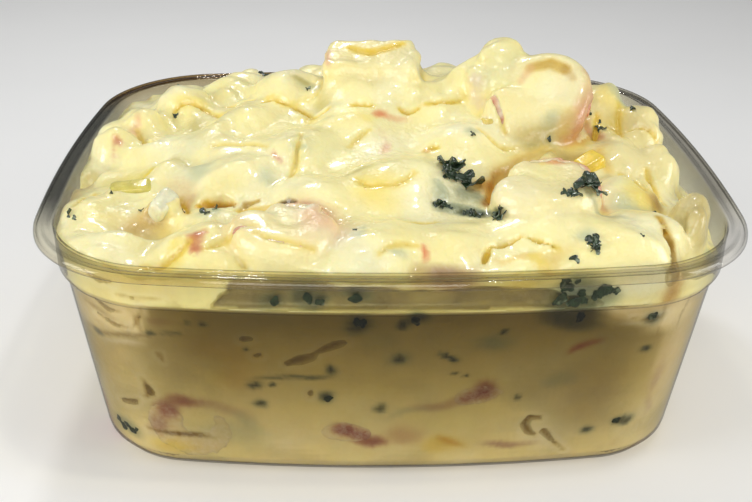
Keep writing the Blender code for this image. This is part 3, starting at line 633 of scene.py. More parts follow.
# The same along the corner and the other walls, as (angle in degrees, height, size).
ROUND_FLECKS = (
    (217.2, 8.4, 1.3), (219.4, 8.6, 1.2), (216.2, 9.8, 1.1), (200, 30, 1.3), (190, 44, 1.8),
    (176, 22, 1.5), (168, 38, 1.2), (160, 14, 1.7), (146, 33, 2.0), (131, 20, 1.2), (120, 43, 1.6),
    (108, 12, 1.4), (99, 31, 1.8), (86, 22, 1.1), (76, 45, 1.7), (66, 15, 1.5), (55, 36, 1.3),
    (43, 26, 1.9), (30, 12, 1.2), (19, 40, 1.6), (8, 24, 1.4), (-6, 36, 1.2), (-17, 17, 1.8),
    (-28, 42, 1.1), (218.4, 9.6, 0.9), (220.4, 9.4, 0.8),
)


class Chunk(NamedTuple):
    """A cube of filling, as its solid has it, its shift and how far the dressing covers it."""

    size: tuple
    turns: tuple
    colour: tuple
    slot: str
    shift: tuple
    cover: float


CHUNKS = {
    "yellow_chunk": Chunk(
        (7.0, 5.5, 6.5), (20, -15, 30), (0.95, 0.83, 0.30), "yellow_cube", (-1, 3, 0.3), 0.1,
    ),
    "yellow_cube": Chunk(
        (4.5, 4.5, 5.0), (-20, 10, 15), (0.94, 0.84, 0.46), "yellow_cube", (0, 0, 0), 0.3,
    ),
    "white_cube": Chunk(
        (4.2, 7.5, 7.0), (28, 22, -30), (0.95, 0.94, 0.80), "white_cube", (-1, 2.5, -0.6), 1.1,
    ),
    "green_chunk": Chunk(
        (10.0, 5.0, 5.5), (5, 0, 8), (0.86, 0.81, 0.42), "green_cube", (-1, 2.5, 0.5), 0.35,
    ),
}
CHUNK_ROUNDING = 1.2
CHUNK_SHADE = 0.76

# How much light each face of the clear wall lets through, by colour. The darkest wall value is painted
# shade, the right flange's value stands in for a painted reflection, and the whitest value is a
# painted highlight on the front rim.
INSIDE_CLEAR = (0.97, 0.965, 0.94)
INSIDE_NECK_CLEAR = (0.98, 0.97, 0.91)
LOW_CLEAR = (0.945, 0.915, 0.87)
PAINTED_SHADE_CLEAR = (0.625, 0.58, 0.44)
NECK_CLEAR = (0.99, 0.98, 0.925)
FLANGE_CLEAR = (0.61, 0.61, 0.59)
BACK_FLANGE_CLEAR = (0.76, 0.69, 0.56)
RIGHT_FLANGE_PAINTED_REFLECTION = (0.86, 0.85, 0.82)
FRONT_FLANGE_CLEAR = (0.995, 0.985, 0.94)
SKIRT_CLEAR = (0.985, 0.97, 0.92)
FRONT_RIM_PAINTED_HIGHLIGHT = (1.0, 0.995, 0.985)
HAZE = (0.55, 0.54, 0.46)
EDGE_TINT = (0.25, 0.25, 0.22)
# How much painted shade the walls get at the left and at the right, and where the front's painted
# shade is centred.
LEFT_PAINTED_SHADE = 0.45
RIGHT_PAINTED_SHADE = 0.05
PAINTED_SHADE_SHIFT = 4.0
RIGHT_FROM = 60
# How high the salad touches the front wall at both corners, as (x, height). Above this line the wall
# gets no painted shade.
EDGE_LINE = (
    (-70, 38), (-56, 39.5), (-52, 60), (40, 60), (44, 46.5), (50, 44.5), (60, 40.5), (70, 39.5),
)
# Shares of the wall's height at which it gets a ring of its own, and the ring under them.
WALL_STEPS = (0.3, 0.55, 0.72, 0.80, 0.87, 0.94)
FOOT_RING = 5


class Moist(NamedTuple):
    """A moist surface: its patches of colour, scatter, roughness from and to, and bumps.

    Patches are (scale, detail, roughness, noise from, noise to, share at most), and each bump
    is (scale, height, detail).
    """

    patches: tuple
    scatter: float
    roughness: tuple
    bumps: tuple


SALAD_LOOK = Moist(
    (190, 4.0, 0.6, 0.35, 0.70, 0.16), 0.35, (0.28, 0.46), ((330, 0.55, 2.0), (1100, 0.10, 2.0))
)
SHRIMP_LOOK = Moist(
    (700, 3.0, 0.6, 0.40, 0.70, 0.30), 0.5, (0.18, 0.34), ((500, 0.22, 2.0), (1500, 0.06, 2.0))
)
CHUNK_LOOK = Moist(
    (420, 3.0, 0.5, 0.35, 0.70, 1.0), 0.45, (0.20, 0.40), ((650, 0.18, 3.0), (1800, 0.05, 2.0))
)
MOISTURE = {
    "Subsurface Radius": (1.0, 0.75, 0.40),
    "Subsurface Scale": 2.5 * MM,
    "IOR": 1.45,
    "Coat Weight": 0.45,
    "Coat Roughness": 0.11,
}
# Numbers of a colour mix's sockets: its share, its two colours and its result.
MIX_INPUTS = (0, 6, 7)
MIX_RESULT = 2

# The camera, fitted to the tub's rim and base in the photo's frame of 752 by 502 pixels.
CAMERA_AZIMUTH = math.radians(-2.0389)
CAMERA_ELEVATION = math.radians(27.9247)
CAMERA_ROLL = math.radians(0.8695)
CAMERA_LOCATION = (-11.381, -248.486, 161.781)
CAMERA_LENS = 48.634
CAMERA_SENSOR = 36.0
NEAREST_SEEN = 0.01

# Square lamps: place, height of the aim over the middle, size, all in metres, and watts.
LAMPS = {
    "overhead": ((-0.04, -0.04, 0.75), 0.05, 0.50, 0.38),
    "left": ((-0.60, -0.20, 0.20), 0.03, 0.30, 2.0),
    "right": ((0.60, -0.20, 0.20), 0.03, 0.30, 1.8),
    "front": ((-0.05, -0.64, 0.34), 0.04, 0.36, 1.65),
    "sparkle_back": ((-0.10, 0.34, 0.46), 0.06, 0.05, 0.7),
    "sparkle_top": ((0.14, -0.10, 0.60), 0.06, 0.04, 0.5),
}
LAMP_TONES = {"overhead": (1.0, 0.99, 0.97)}
SKY_STRENGTH = 0.26
FLOOR_HALF = 3000
FLOOR_TONES = ((0.86, 0.86, 0.85), (0.90, 0.90, 0.89))


def linear(colours):
    """Scene-linear values of colours as they look on a screen."""
    colours = np.asarray(colours)
    return np.where(colours <= 0.04045, colours / 12.92, ((colours + 0.055) / 1.055) ** 2.4)


def ramp(value, start, end):
    """Rises from 0 at the start to 1 at the end. The end may be the lower of the two."""
    return np.clip((value - start) / (end - start), 0, 1)


# Outlines and walls.


def outline_points(outline):
    """Points (x, y) of an outline, counter-clockwise from its right-hand side."""
    long_centre = Vector((0, outline.depth / 2 - outline.bow_long))
    short_centre = Vector((outline.width / 2 - outline.bow_short, 0))
    long_reach = outline.bow_long - outline.corner
    short_reach = outline.bow_short - outline.corner
    line = short_centre - long_centre
    along = (long_reach**2 - short_reach**2 + line.length_squared) / (2 * line.length)
    across = math.sqrt(long_reach**2 - along**2)
    unit = line.normalized()
    side = Vector((unit.y, -unit.x))
    corner_centre = max(
        (long_centre + unit * along + side * sign * across for sign in (1, -1)), key=lambda c: c.x
    )
    to_long = corner_centre - long_centre
    to_short = corner_centre - short_centre
    long_angle = math.atan2(to_long.y, to_long.x)
    short_angle = math.atan2(to_short.y, to_short.x)
    arcs = (
        (short_centre, outline.bow_short, 0.0, short_angle, SHORT_STEPS),
        (corner_centre, outline.corner, short_angle, long_angle, CORNER_STEPS),
        (long_centre, outline.bow_long, long_angle, math.pi / 2, LONG_STEPS),
    )
    quarter = []
    for centre, radius, start, end, steps in arcs:
        for step in range(steps):
            angle = start + (end - start) * step / steps
            quarter.append(centre + radius * Vector((math.cos(angle), math.sin(angle))))
    quarter.append(Vector((0, outline.depth / 2)))
    right_back = [(p.x, p.y) for p in quarter]
    back_half = right_back + [(-x, y) for x, y in reversed(right_back[:-1])]
    return back_half + [(-x, -y) for x, y in back_half[1:-1]]


def outline_radius(outline, angles):
    """How far an outline is from the middle in each direction."""
    x, y = np.array(outline_points(outline)).T
    turns = np.unwrap(np.arctan2(y, x))
    return np.interp(angles, turns, np.hypot(x, y), period=2 * math.pi)


def at_height(radii, height):
    """A radius at one height, from those at the levels of the tub's inside."""
    last = len(INSIDE) - 1
    place = np.clip(np.interp(height, list(INSIDE), range(last + 1)), 0, last - 0.001)
    lower = int(place)
    return radii[lower] + (radii[lower + 1] - radii[lower]) * (place - lower)


def wall_radius(angle, height):
    """How far the tub's inside is from the middle, in one direction and at one height."""
    return at_height([outline_radius(outline, angle) for outline in INSIDE.values()], height)


def wall_point(angle, height):
    radius = wall_radius(angle, height)
    return Vector((math.cos(angle) * radius, math.sin(angle) * radius, height))


def wall_spot(angle, height, into):
    """A point this far past the tub's inside at an angle, and the way it faces."""
    step = 0.02
    tangent = (wall_point(angle + step, height) - wall_point(angle - step, height)).normalized()
    facing = Vector((tangent.y, -tangent.x, -0.12)).normalized()
    return wall_point(angle, height) + facing * into, facing


def front_wall_y(x, height):
    """The inside of the front wall, as a y, over one place."""
    y = -HALF_DEPTH
    for _ in range(4):
        radius = wall_radius(math.atan2(y, x), height)
        y = -math.sqrt(max(radius**2 - x**2, 1.0))
    return y


def front_spot(x, height, into):
    return wall_spot(math.atan2(front_wall_y(x, height), x), height, into)


# Fields: a grid of distances in millimetres, less than zero inside a shape.


class Grid:
    """A box of evenly spaced sample points."""

    def __init__(self, low, high, step):
        self.step = step
        self.axes = [np.arange(a, b + step, step) for a, b in zip(low, high)]
        self.shape = tuple(len(axis) for axis in self.axes)

    def window(self, low, high):
        """The samples inside a box, as slices."""
        parts = []
        for axis, a, b in zip(self.axes, low, high):
            first = max(0, int((a - axis[0]) / self.step))
            last = max(0, int((b - axis[0]) / self.step) + 2)
            parts.append(slice(first, last))
        return tuple(parts)

    def points(self, window=(slice(None),) * 3):
        parts = [axis[piece] for axis, piece in zip(self.axes, window)]
        return np.stack(np.meshgrid(*parts, indexing="ij"), axis=-1)

    def plan(self):
        """The places x and y of all columns."""
        return np.meshgrid(self.axes[0], self.axes[1], indexing="ij")

    def nearest(self, points):
        """The sample nearest to each point, as an index."""
        return tuple(
            np.clip(((place - axis[0]) / self.step).round().astype(int), 0, len(axis) - 1)
            for place, axis in zip(points.T, self.axes)
        )


def around(centre, reach):
    """The box that reaches this far from a point."""
    return np.array(centre) - reach, np.array(centre) + reach


def run_box(run, pad):
    corners = np.array(run)[:, :3]
    return corners.min(axis=0) - pad, corners.max(axis=0) + pad


def melt(a, b, blend):
    """The union of two fields, with the seam rounded over the blend."""
    share = np.clip(0.5 + 0.5 * (b - a) / blend, 0, 1)
    return b + (a - b) * share - blend * share * (1 - share)


def fuse(field, grid, box, blend, distance, *shape):
    """Melts a shape into a field. The distance function takes points and then the shape."""
    window = grid.window(*box)
    field[window] = melt(field[window], distance(grid.points(window), *shape), blend)


def carve(field, grid, box, blend, distance, *shape):
    """Cuts a shape out of a field, in the same way."""
    window = grid.window(*box)
    field[window] = -melt(-field[window], distance(grid.points(window), *shape), blend)


def rotation(*turns):
    """The product of turns given as (axis, degrees)."""
    total = Matrix.Identity(3)
    for axis, angle in turns:
        total = total @ Matrix.Rotation(math.radians(angle), 3, axis)
    return np.array(total)


def facing_axes(facing, spin):
    """The axes of a thing that faces one way and is turned about it, as a matrix's columns."""
    turn = Vector((0, 0, 1)).rotation_difference(facing)
    return np.array(turn.to_matrix() @ Matrix.Rotation(spin, 3, "Z"))


def ellipsoid_distance(points, centre, size, turn):
    local = (points - centre) @ turn
    near = np.linalg.norm(local / size, axis=-1)
    slope = np.linalg.norm(local / np.square(size), axis=-1)
    return near * (near - 1) / np.maximum(slope, 1e-6)


def box_distance(points, centre, size, turn, rounding):
    local = np.abs((points - centre) @ turn) - (np.array(size) / 2 - rounding)
    outside = np.linalg.norm(np.maximum(local, 0), axis=-1)
    return outside + np.minimum(local.max(axis=-1), 0) - rounding


def run_distance(points, run, flatten=(1, 1, 1)):
    """Distance to a run of (x, y, z, radius), measured with the axes scaled."""
    best = np.full(points.shape[:-1], 1e3)
    scale = np.array(flatten, float)
    for start, end in zip(run, run[1:]):
        a = np.array(start[:3]) * scale
        line = np.array(end[:3]) * scale - a
        away = points * scale - a
        share = np.clip(away @ line / max(line @ line, 1e-6), 0, 1)
        radius = start[3] + (end[3] - start[3]) * share
        best = np.minimum(best, np.linalg.norm(away - share[..., None] * line, axis=-1) - radius)
    return best


def spline_weights(axis, cell):
    """How much each coarse value counts at each sample of an axis, by a cubic B-spline."""
    place = (axis - axis[0]) / cell
    first = np.floor(place).astype(int)
    part = place - first
    weights = np.zeros((len(axis), first[-1] + 4))
    basis = (
        (1 - part) ** 3 / 6,
        (3 * part**3 - 6 * part**2 + 4) / 6,
        (-3 * part**3 + 3 * part**2 + 3 * part + 1) / 6,
        part**3 / 6,
    )
    for offset, values in enumerate(basis):
        weights[np.arange(len(axis)), first + offset] = values
    return weights


def noise_field(grid, cells, seed):
    """Smooth seeded noise of about -1 to 1 over a grid."""
    draw = np.random.default_rng(seed)
    weights = [spline_weights(axis, cell) for axis, cell in zip(grid.axes, cells)]
    values = draw.uniform(-3, 3, [weight.shape[1] for weight in weights])
    for weight in weights:
        values = np.tensordot(values, weight, axes=(0, 1))
    return values


def folded(noise, softness=0.15, mean=0.62):
    """Turns noise into round swells between narrow creases, with a mean near zero."""
    return np.sqrt(noise**2 + softness**2) - mean


# Corners of a cell, and its edges as pairs of corners.
CELL_CORNERS = np.array([(i, j, k) for i in (0, 1) for j in (0, 1) for k in (0, 1)])
CELL_EDGES = [
    (a, b)
    for a in range(8)
    for b in range(a + 1, 8)
    if np.abs(CELL_CORNERS[a] - CELL_CORNERS[b]).sum() == 1
]


def surface_net(field, grid):
    """Points and four-sided faces of the surface where a field is zero, facing out."""
    inside = field < 0
    count = np.zeros(np.array(field.shape) - 1, np.int8)
    for i, j, k in CELL_CORNERS:
        count += inside[i : i + count.shape[0], j : j + count.shape[1], k : k + count.shape[2]]
    cells = np.argwhere((count > 0) & (count < 8))
    number = np.full(count.shape, -1, np.int32)
    number[tuple(cells.T)] = np.arange(len(cells))
    values = np.stack([field[tuple((cells + corner).T)] for corner in CELL_CORNERS], axis=1)
    total = np.zeros((len(cells), 3))
    crossings = np.zeros(len(cells))
    for a, b in CELL_EDGES:
        cut = (values[:, a] < 0) != (values[:, b] < 0)
        share = np.where(cut, values[:, a] / np.where(cut, values[:, a] - values[:, b], 1), 0)
        spot = CELL_CORNERS[a] + share[:, None] * (CELL_CORNERS[b] - CELL_CORNERS[a])
        total += np.where(cut[:, None], spot, 0)
        crossings += cut
    origin = np.array([axis[0] for axis in grid.axes])
    points = origin + grid.step * (cells + total / crossings[:, None])
    faces = [faces_across(inside, number, axis) for axis in range(3)]
    return points, np.concatenate(faces).tolist()


def faces_across(inside, number, axis):
    """A face for each edge of the grid along one axis that enters or leaves the shape."""
    first, second = (axis + 1) % 3, (axis + 2) % 3
    ahead = [slice(1, -1)] * 3
    behind = [slice(1, -1)] * 3
    behind[axis] = slice(0, -1)
    ahead[axis] = slice(1, None)
    start = inside[tuple(behind)]
    end = inside[tuple(ahead)]
    faces = []
    for here, there in ((start & ~end, 1), (~start & end, -1)):
        cell = np.argwhere(here)
        cell[:, [first, second]] += 1
        around_edge = []
        for back in ((1, 1), (0, 1), (0, 0), (1, 0))[::there]:
            near = cell.copy()
            near[:, [first, second]] -= back
            around_edge.append(number[tuple(near.T)])
        faces.append(np.stack(around_edge, axis=1))
    return np.concatenate(faces)


# Meshes.


def mesh_object(name, points, faces, smooth=True):
    """An object from points in millimetres and faces of three or more corners."""
    mesh = bpy.data.meshes.new(name)
    mesh.from_pydata((points * MM).tolist(), [], faces)
    mesh.validate()
    if smooth:
        mesh.shade_smooth()
    obj = bpy.data.objects.new(name, mesh)
    bpy.context.scene.collection.objects.link(obj)
    return obj


def joined(name, sheets):
    """One object from the points and faces of several sheets."""
    points, faces, start = [], [], 0
    for sheet_points, sheet_faces in sheets:
        points.append(sheet_points)
        faces += [[corner + start for corner in face] for face in sheet_faces]
        start += len(sheet_points)
    return mesh_object(name, np.concatenate(points), faces)


def bake_modifiers(obj):
    """Gives an object the mesh that its modifiers make."""
    graph = bpy.context.evaluated_depsgraph_get()
    mesh = bpy.data.meshes.new_from_object(obj.evaluated_get(graph))
    obj.modifiers.clear()
    obj.vertex_groups.clear()
    obj.data = mesh
    mesh.shade_smooth()


def set_colours(obj, colours, name="tint"):
    """Stores one screen colour for each point, as scene-linear values."""
    values = linear(np.clip(colours, 0, 1))
    layer = obj.data.color_attributes.new(name, "FLOAT_COLOR", "POINT")
    layer.data.foreach_set("color", np.c_[values, np.ones(len(values))].ravel())


def layered(colours, *layers):
    """Lays (colour, share) pairs over each point's colour, one after another."""
    for colour, share in layers:
        share = np.clip(share, 0, 1).reshape(-1, 1)
        colours = colours * (1 - share) + np.array(colour) * share
    return colours


def evenly(colour, points):
    """The same colour for every point."""
    return np.tile(colour, (len(points), 1))


def add_to_scene(obj, material, slot, *nodes):
    obj.data.materials.append(material)
    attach(obj, "root")
    if nodes:
        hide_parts(*nodes)


# The heap.


def heap_height(x, y):
    """The mean height of the heap's top."""
    across = np.minimum(np.abs(x) / HALF_WIDTH, 1.0)
    along = (y + HALF_DEPTH) / (2 * HALF_DEPTH)
    edge = FRONT_LEVEL + (BACK_LEVEL - FRONT_LEVEL) * along
    edge = edge + (np.where(x < 0, LEFT_LEVEL, RIGHT_LEVEL) - edge) * across**3
    side_fall = 1 - across ** np.where(x < 0, LEFT_FALL, RIGHT_FALL)
    near = ramp(y, CREST_Y, -HALF_DEPTH) ** FRONT_FALL
    far = ramp(y, CREST_Y, HALF_DEPTH) ** BACK_FALL
    crown = CROWN_LEVEL + CROWN_LEAN * x / HALF_WIDTH
    return edge + (crown - edge) * side_fall * (1 - near - far)


def on_heap(x, y, rise=0.0):
    return np.array((x, y, float(heap_height(x, y)) + rise))


def lump_shape(lump):
    centre = on_heap(lump.x, lump.y, lump.rise - lump.size[2])
    return centre, np.array(lump.size, float), rotation(("Z", lump.turn), ("Y", lump.tip))


def far_lumps():
    draw = np.random.default_rng(FAR_SEED)
    lumps = []
    for row, y in enumerate(FAR_ROWS):
        for column in range(int(2 * FAR_REACH / FAR_SPACING)):
            x = -FAR_REACH + FAR_SPACING * (column + 0.5 * (row % 2) + 0.5)
            dx, dy = draw.uniform(-FAR_JITTER, FAR_JITTER, 2)
            size = tuple(side * draw.uniform(0.85, 1.15) for side in FAR_SIZE)
            lumps.append(Lump(x + dx, y + dy, FAR_RISE, size, draw.uniform(0, 90)))
    return lumps


def pile_up(grid):
    """The heap before it is cut to the tub."""
    level = heap_height(*grid.plan()) - LUMP_COVER
    field = SLOPE_SHARE * (grid.axes[2] - level[:, :, None])
    for lump in LUMPS + far_lumps():
        shape = lump_shape(lump)
        box = around(shape[0], max(shape[1]) + 6)
        fuse(field, grid, box, LUMP_MELT, ellipsoid_distance, *shape)
    block = (np.array(BLOCK_CENTRE), BLOCK_SIZE, rotation(*zip("XYZ", BLOCK_TURNS)), BLOCK_ROUNDING)
    fuse(field, grid, around(BLOCK_CENTRE, 20), BLOCK_MELT, box_distance, *block)
    peak = (np.array(PEAK_CENTRE), PEAK_SIZE, np.eye(3))
    fuse(field, grid, around(PEAK_CENTRE, 16), LUMP_MELT, ellipsoid_distance, *peak)
    fuse(field, grid, RIDGE_BOX, LUMP_MELT, run_distance, PEAK_RIDGE)
    for knob in PEAK_KNOBS:
        fuse(field, grid, around(knob[:3], 8), KNOB_MELT, run_distance, (knob, knob))
    return field


def roughness_map(grid):
    """How uneven the heap is over each place: smooth in the middle, rough at both ends."""
    x, y = grid.plan()
    away = ((x - CALM_CENTRE[0]) / CALM_SIZE[0]) ** 2 + ((y - CALM_CENTRE[1]) / CALM_SIZE[1]) ** 2
    return (1 - CALMNESS * np.exp(-(away**2)))[:, :, None]


def wall_field(grid, bite):
    """Distance past the tub's inside, moved into the wall by a bite, leaning in above the rim."""
    x, y = grid.plan()
    angles = np.arctan2(y, x).ravel()
    radii = [outline_radius(outline, angles).reshape(x.shape) for outline in INSIDE.values()]
    field = np.empty(grid.shape)
    for k, height in enumerate(grid.axes[2]):
        lean = RIM_LEAN * max(0.0, height - TUB_HEIGHT + 0.5)
        field[:, :, k] = np.hypot(x, y) - at_height(radii, height) - bite + lean
    return np.maximum(field, (WALL - bite) - grid.axes[2])


class Top:
    """The highest surface of the salad, to set things on."""

    def __init__(self, heights, grid):
        self.heights = heights
        self.grid = grid

    def at(self, x, y):
        """The height over one place or over many."""
        axes = self.grid.axes
        u = np.clip((np.asarray(x) - axes[0][0]) / self.grid.step, 0, len(axes[0]) - 1.001)
        v = np.clip((np.asarray(y) - axes[1][0]) / self.grid.step, 0, len(axes[1]) - 1.001)
        i, j = u.astype(int), v.astype(int)
        a, b = u - i, v - j
        h = self.heights
        return (
            h[i, j] * (1 - a) * (1 - b)
            + h[i + 1, j] * a * (1 - b)
            + h[i, j + 1] * (1 - a) * b
            + h[i + 1, j + 1] * a * b
        )

    def facing(self, x, y, draw, tilt):
        """The way the surface faces at a place, tilted at random."""
        reach = 1.2
        dx = (self.at(x + reach, y) - self.at(x - reach, y)) / (2 * reach)
        dy = (self.at(x, y + reach) - self.at(x, y - reach)) / (2 * reach)
        normal = Vector((-float(dx), -float(dy), 1.0)).normalized()
        return (normal + Vector(draw.normal(0, tilt, 3))).normalized()

    def smoothed(self, reach):
        """The mean height around each column, over a square of that half width."""
        steps = int(reach / self.grid.step)
        total = self.heights
        for axis in (0, 1):
            total = sum(np.roll(total, shift, axis) for shift in range(-steps, steps + 1))
            total = total / (2 * steps + 1)
        return Top(total, self.grid)


def top_of(field, grid):
    """The highest surface over each column of a grid."""
    inside = field < 0
    last = field.shape[2] - 1 - np.argmax(inside[:, :, ::-1], axis=2)
    last = np.clip(last, 0, field.shape[2] - 2)
    i, j = np.indices(last.shape)
    low, high = field[i, j, last], field[i, j, last + 1]
    share = np.clip(low / np.where(np.abs(low - high) > 1e-6, low - high, 1), 0, 1)
    heights = grid.axes[2][last] + grid.step * share
    return Top(np.where(inside.any(axis=2), heights, 0.0), grid)


# Shrimps.


def shrimp_frame(placed, on_top):
    """A shrimp's centre, and its own axes as the columns of a matrix."""
    centre = on_heap(*placed.centre) if on_top else np.array(placed.centre)
    facing = Vector(placed.facing).normalized()
    return centre, facing_axes(facing, math.radians(placed.spin))


def curl_distance(points, placed, on_top, ridged=False):
    """Distance to a shrimp, with its place along the curl and how far out on it a point is."""
    centre, axes = shrimp_frame(placed, on_top)
    x, y, z = np.moveaxis((points - centre) @ axes / placed.scale, -1, 0)
    angle = np.arctan2(y, x) % (2 * math.pi)
    past = (2 * math.pi + CURL_TURN) / 2
    along = np.where(angle > CURL_TURN, np.where(angle > past, 0.0, 1.0), angle / CURL_TURN)
    radius = CURL_RADIUS - CURL_CLOSING * along
    beside_x = x - np.cos(along * CURL_TURN) * radius
    beside_y = y - np.sin(along * CURL_TURN) * radius
    reach = np.sqrt(beside_x**2 + beside_y**2 + z**2)
    outward = (np.hypot(x, y) - radius) / np.maximum(reach, 0.1)
    body = BODY_RADIUS + (TAIL_RADIUS - BODY_RADIUS) * along**TAPER_POWER
    if ridged:
        body = body * (1 + SEGMENT_STEP * (0.5 - (along * SHRIMP_SEGMENTS) % 1.0))
    distance = reach - body
    if placed.flat < 1:
        slab = np.abs(z) - placed.flat * BODY_RADIUS
        distance = -melt(-distance, -slab, SLAB_MELT)
    return distance * placed.scale, along, outward


def shrimp_box(placed, on_top):
    return around(shrimp_frame(placed, on_top)[0], (CURL_RADIUS + BODY_RADIUS) * placed.scale + 2)


def spot_share(points, placed, widen, power):
    """How close each point is to a shrimp's bare spots, from 0 to 1."""
    share = np.zeros(points.shape[:-1])
    for *spot, radius in placed.bare:
        away = np.linalg.norm(points - spot, axis=-1) / (widen * radius)
        share = np.maximum(share, np.exp(-(away**power)))
    return share


def blush_share(points, placed):
    """How far the pink back shows through a thin coat, along one part of its outer edge."""
    distance, _, outward = curl_distance(points, placed, True)
    away = points - shrimp_frame(placed, True)[0]
    towards = away @ np.array(placed.blush) / np.maximum(np.linalg.norm(away, axis=-1), 1e-3)
    veil = np.exp(-((distance / 1.8) ** 2))
    return veil * np.clip(2.2 * towards - 1.0, 0, 1) * np.clip(2.0 * outward - 0.4, 0, 1)


def coat_shrimp(field, grid, placed):
    """Lays dressing over a shrimp and in its curl, and clears its bare spots."""
    box = shrimp_box(placed, True)
    centre, axes = shrimp_frame(placed, True)
    filling = np.array((1.1 * CURL_RADIUS, 1.1 * CURL_RADIUS, placed.flat * BODY_RADIUS))

    def moved(points, covered, bare):
        """Distance to the shrimp, with one number added where it is covered, one where bare."""
        clear = spot_share(points, placed, 1, 4)
        return curl_distance(points, placed, True)[0] + covered + (bare - covered) * clear

    fuse(field, grid, box, FILLING_MELT, ellipsoid_distance, centre, filling * placed.scale, axes)
    fuse(field, grid, box, COAT_MELT, moved, -COAT, 0.5)
    carve(field, grid, box, BARE_MELT, moved, 1.2, -0.02)


def make_shrimp(name, placed, material, on_top, seed):
    """A curled shrimp with overlapping segments. One at a wall is cut level with the wall."""
    grid = Grid(*shrimp_box(placed, on_top), SHRIMP_STEP)
    distance = curl_distance(grid.points(), placed, on_top, ridged=True)[0]
    distance += SHRIMP_GRAIN * noise_field(grid, SHRIMP_CELLS, seed)
    if not on_top:
        distance = np.maximum(distance, wall_field(grid, BITE + 0.08))
    points, faces = surface_net(distance, grid)
    obj = mesh_object(name + "_body", points, faces)
    set_colours(obj, shrimp_colours(points, placed, on_top, seed))
    add_to_scene(obj, material, "shrimp_flesh", name)


def shrimp_colours(points, placed, on_top, seed):
    """Cream flesh with a pink back. A shrimp at a wall is dim under a film of dressing, and takes the
    front wall's stains and painted shade.
    """
    draw = np.random.default_rng(seed)
    waves = [np.sin(points @ draw.normal(0, 0.9, 3) + draw.uniform(0, 6)) for _ in range(4)]
    wobble = sum(waves) / 4
    if not on_top:
        colours = layered(evenly(CREAM, points), (BEIGE, 0.35))
        return wall_stained(colours, points, (0.8 * wobble, 0.8 * wobble[::-1]))[0]
    _, along, outward = curl_distance(points, placed, on_top)
    back = np.clip(outward * 1.5 - 0.2 + 0.5 * wobble, 0, 1)
    edge = np.exp(-((((along * SHRIMP_SEGMENTS) % 1.0 - 0.1) / 0.10) ** 2))
    return layered(
        evenly(FLESH, points),
        (SHELL_PINK, 0.95 * back),
        (SHELL_RED, 0.55 * edge * np.clip(back + 0.02, 0, 1)),
        (WHITE, 0.6 * np.clip(-wobble - 0.25, 0, 1)),
    )


# The salad.


def groove_run(groove, top):
    """A crease as a run of points just under the surface."""
    (x0, y0), (x1, y1) = groove.start, groove.end
    run = []
    for share in np.linspace(0, 1, GROOVE_POINTS):
        bulge = 4 * share * (1 - share)
        x = x0 + (x1 - x0) * share
        y = y0 + (y1 - y0) * share + groove.sag * bulge
        width = groove.width * (0.25 + 0.75 * bulge)
        run.append((x, y, float(top.at(x, y)) - 0.2 * groove.depth, width))
    return run


def cut_run(cut, top):
    """A cut's run as (x, y, z, radius)."""
    return [
        point if len(point) == 4 else (*point[:2], float(top.at(*point[:2])), point[2])
        for point in cut.run
    ]


def stain_run(colours, points, run, pad, flatten, width, fade, colour, strength):
    """Colours the points along a run. It is full to a width past the run and then fades."""
    low, high = run_box(run, pad)
    near = ((points > low) & (points < high)).all(axis=1)
    away = np.maximum(run_distance(points[near], run, flatten) - width, 0)
    share = strength * np.exp(-((away / fade) ** 2))
    colours[near] = layered(colours[near], (colour, share))


def stain_creases(colours, points, top):
    """Paints shade along each crease, as a deeper yellow of the dressing, and colours each cut, most
    of them with painted shade.
    """
    for groove in GROOVES:
        run = groove_run(groove, top)
        stain_run(colours, points, run, 4, (1, 1, 1), 0, 0.7, PAINTED_CREASE_SHADE, groove.tint)
    for cut in CUTS:
        sunk = 0.0 if cut.sharp() else 0.5
        fade = 0.4 if cut.sharp() else 0.7
        run = [
            (x, y, z - sunk * cut.steep * radius, radius) for x, y, z, radius in cut_run(cut, top)
        ]
        flatten = (1, 1, 1 / cut.steep)
        pad = 3 + 4 * cut.steep
        stain_run(colours, points, run, pad, flatten, 0.2, fade, cut.colour, cut.strength)


def salad_field(grid):
    """The dressed heap inside the tub, with all that is carved into it."""
    field = pile_up(grid)
    rough = roughness_map(grid)
    for wave in FOLDS:
        field -= wave.height * rough * folded(noise_field(grid, wave.cells, wave.seed))
    for placed in TOP_SHRIMPS.values():
        coat_shrimp(field, grid, placed)
    for node in CHUNKS:
        bed_chunk(field, grid, node)
    field -= RIPPLES.height * noise_field(grid, RIPPLES.cells, RIPPLES.seed)
    for hollow in HOLLOWS:
        shape = lump_shape(hollow)
        box = around(shape[0], max(shape[1]) + 3)
        carve(field, grid, box, HOLLOW_MELT, ellipsoid_distance, *shape)
    top = top_of(field, grid)
    for groove in GROOVES:
        run = groove_run(groove, top)
        flatten = (1, 1, groove.width / groove.depth)
        carve(field, grid, run_box(run, 3), GROOVE_MELT, run_distance, run, flatten)
    for cut in CUTS:
        run = cut_run(cut, top)
        box = run_box(run, 3 + cut.steep * max(point[3] for point in run))
        blend = SHARP_MELT if cut.sharp() else CUT_MELT
        carve(field, grid, box, blend, run_distance, run, (1, 1, 1 / cut.steep))
    wall = wall_field(grid, BITE) + side_relief(grid)
    field = np.maximum(-melt(-field, -wall, EDGE_ROUNDING), grid.axes[2] - TALLEST)
    for pocket in AIR_POCKETS:
        run = [(x, front_wall_y(x, z), z, radius) for x, z, radius in pocket]
        flatten = (1, 1 / POCKET_DEPTH, 1)
        carve(field, grid, run_box(run, 3), SHARP_MELT, run_distance, run, flatten)
    return field


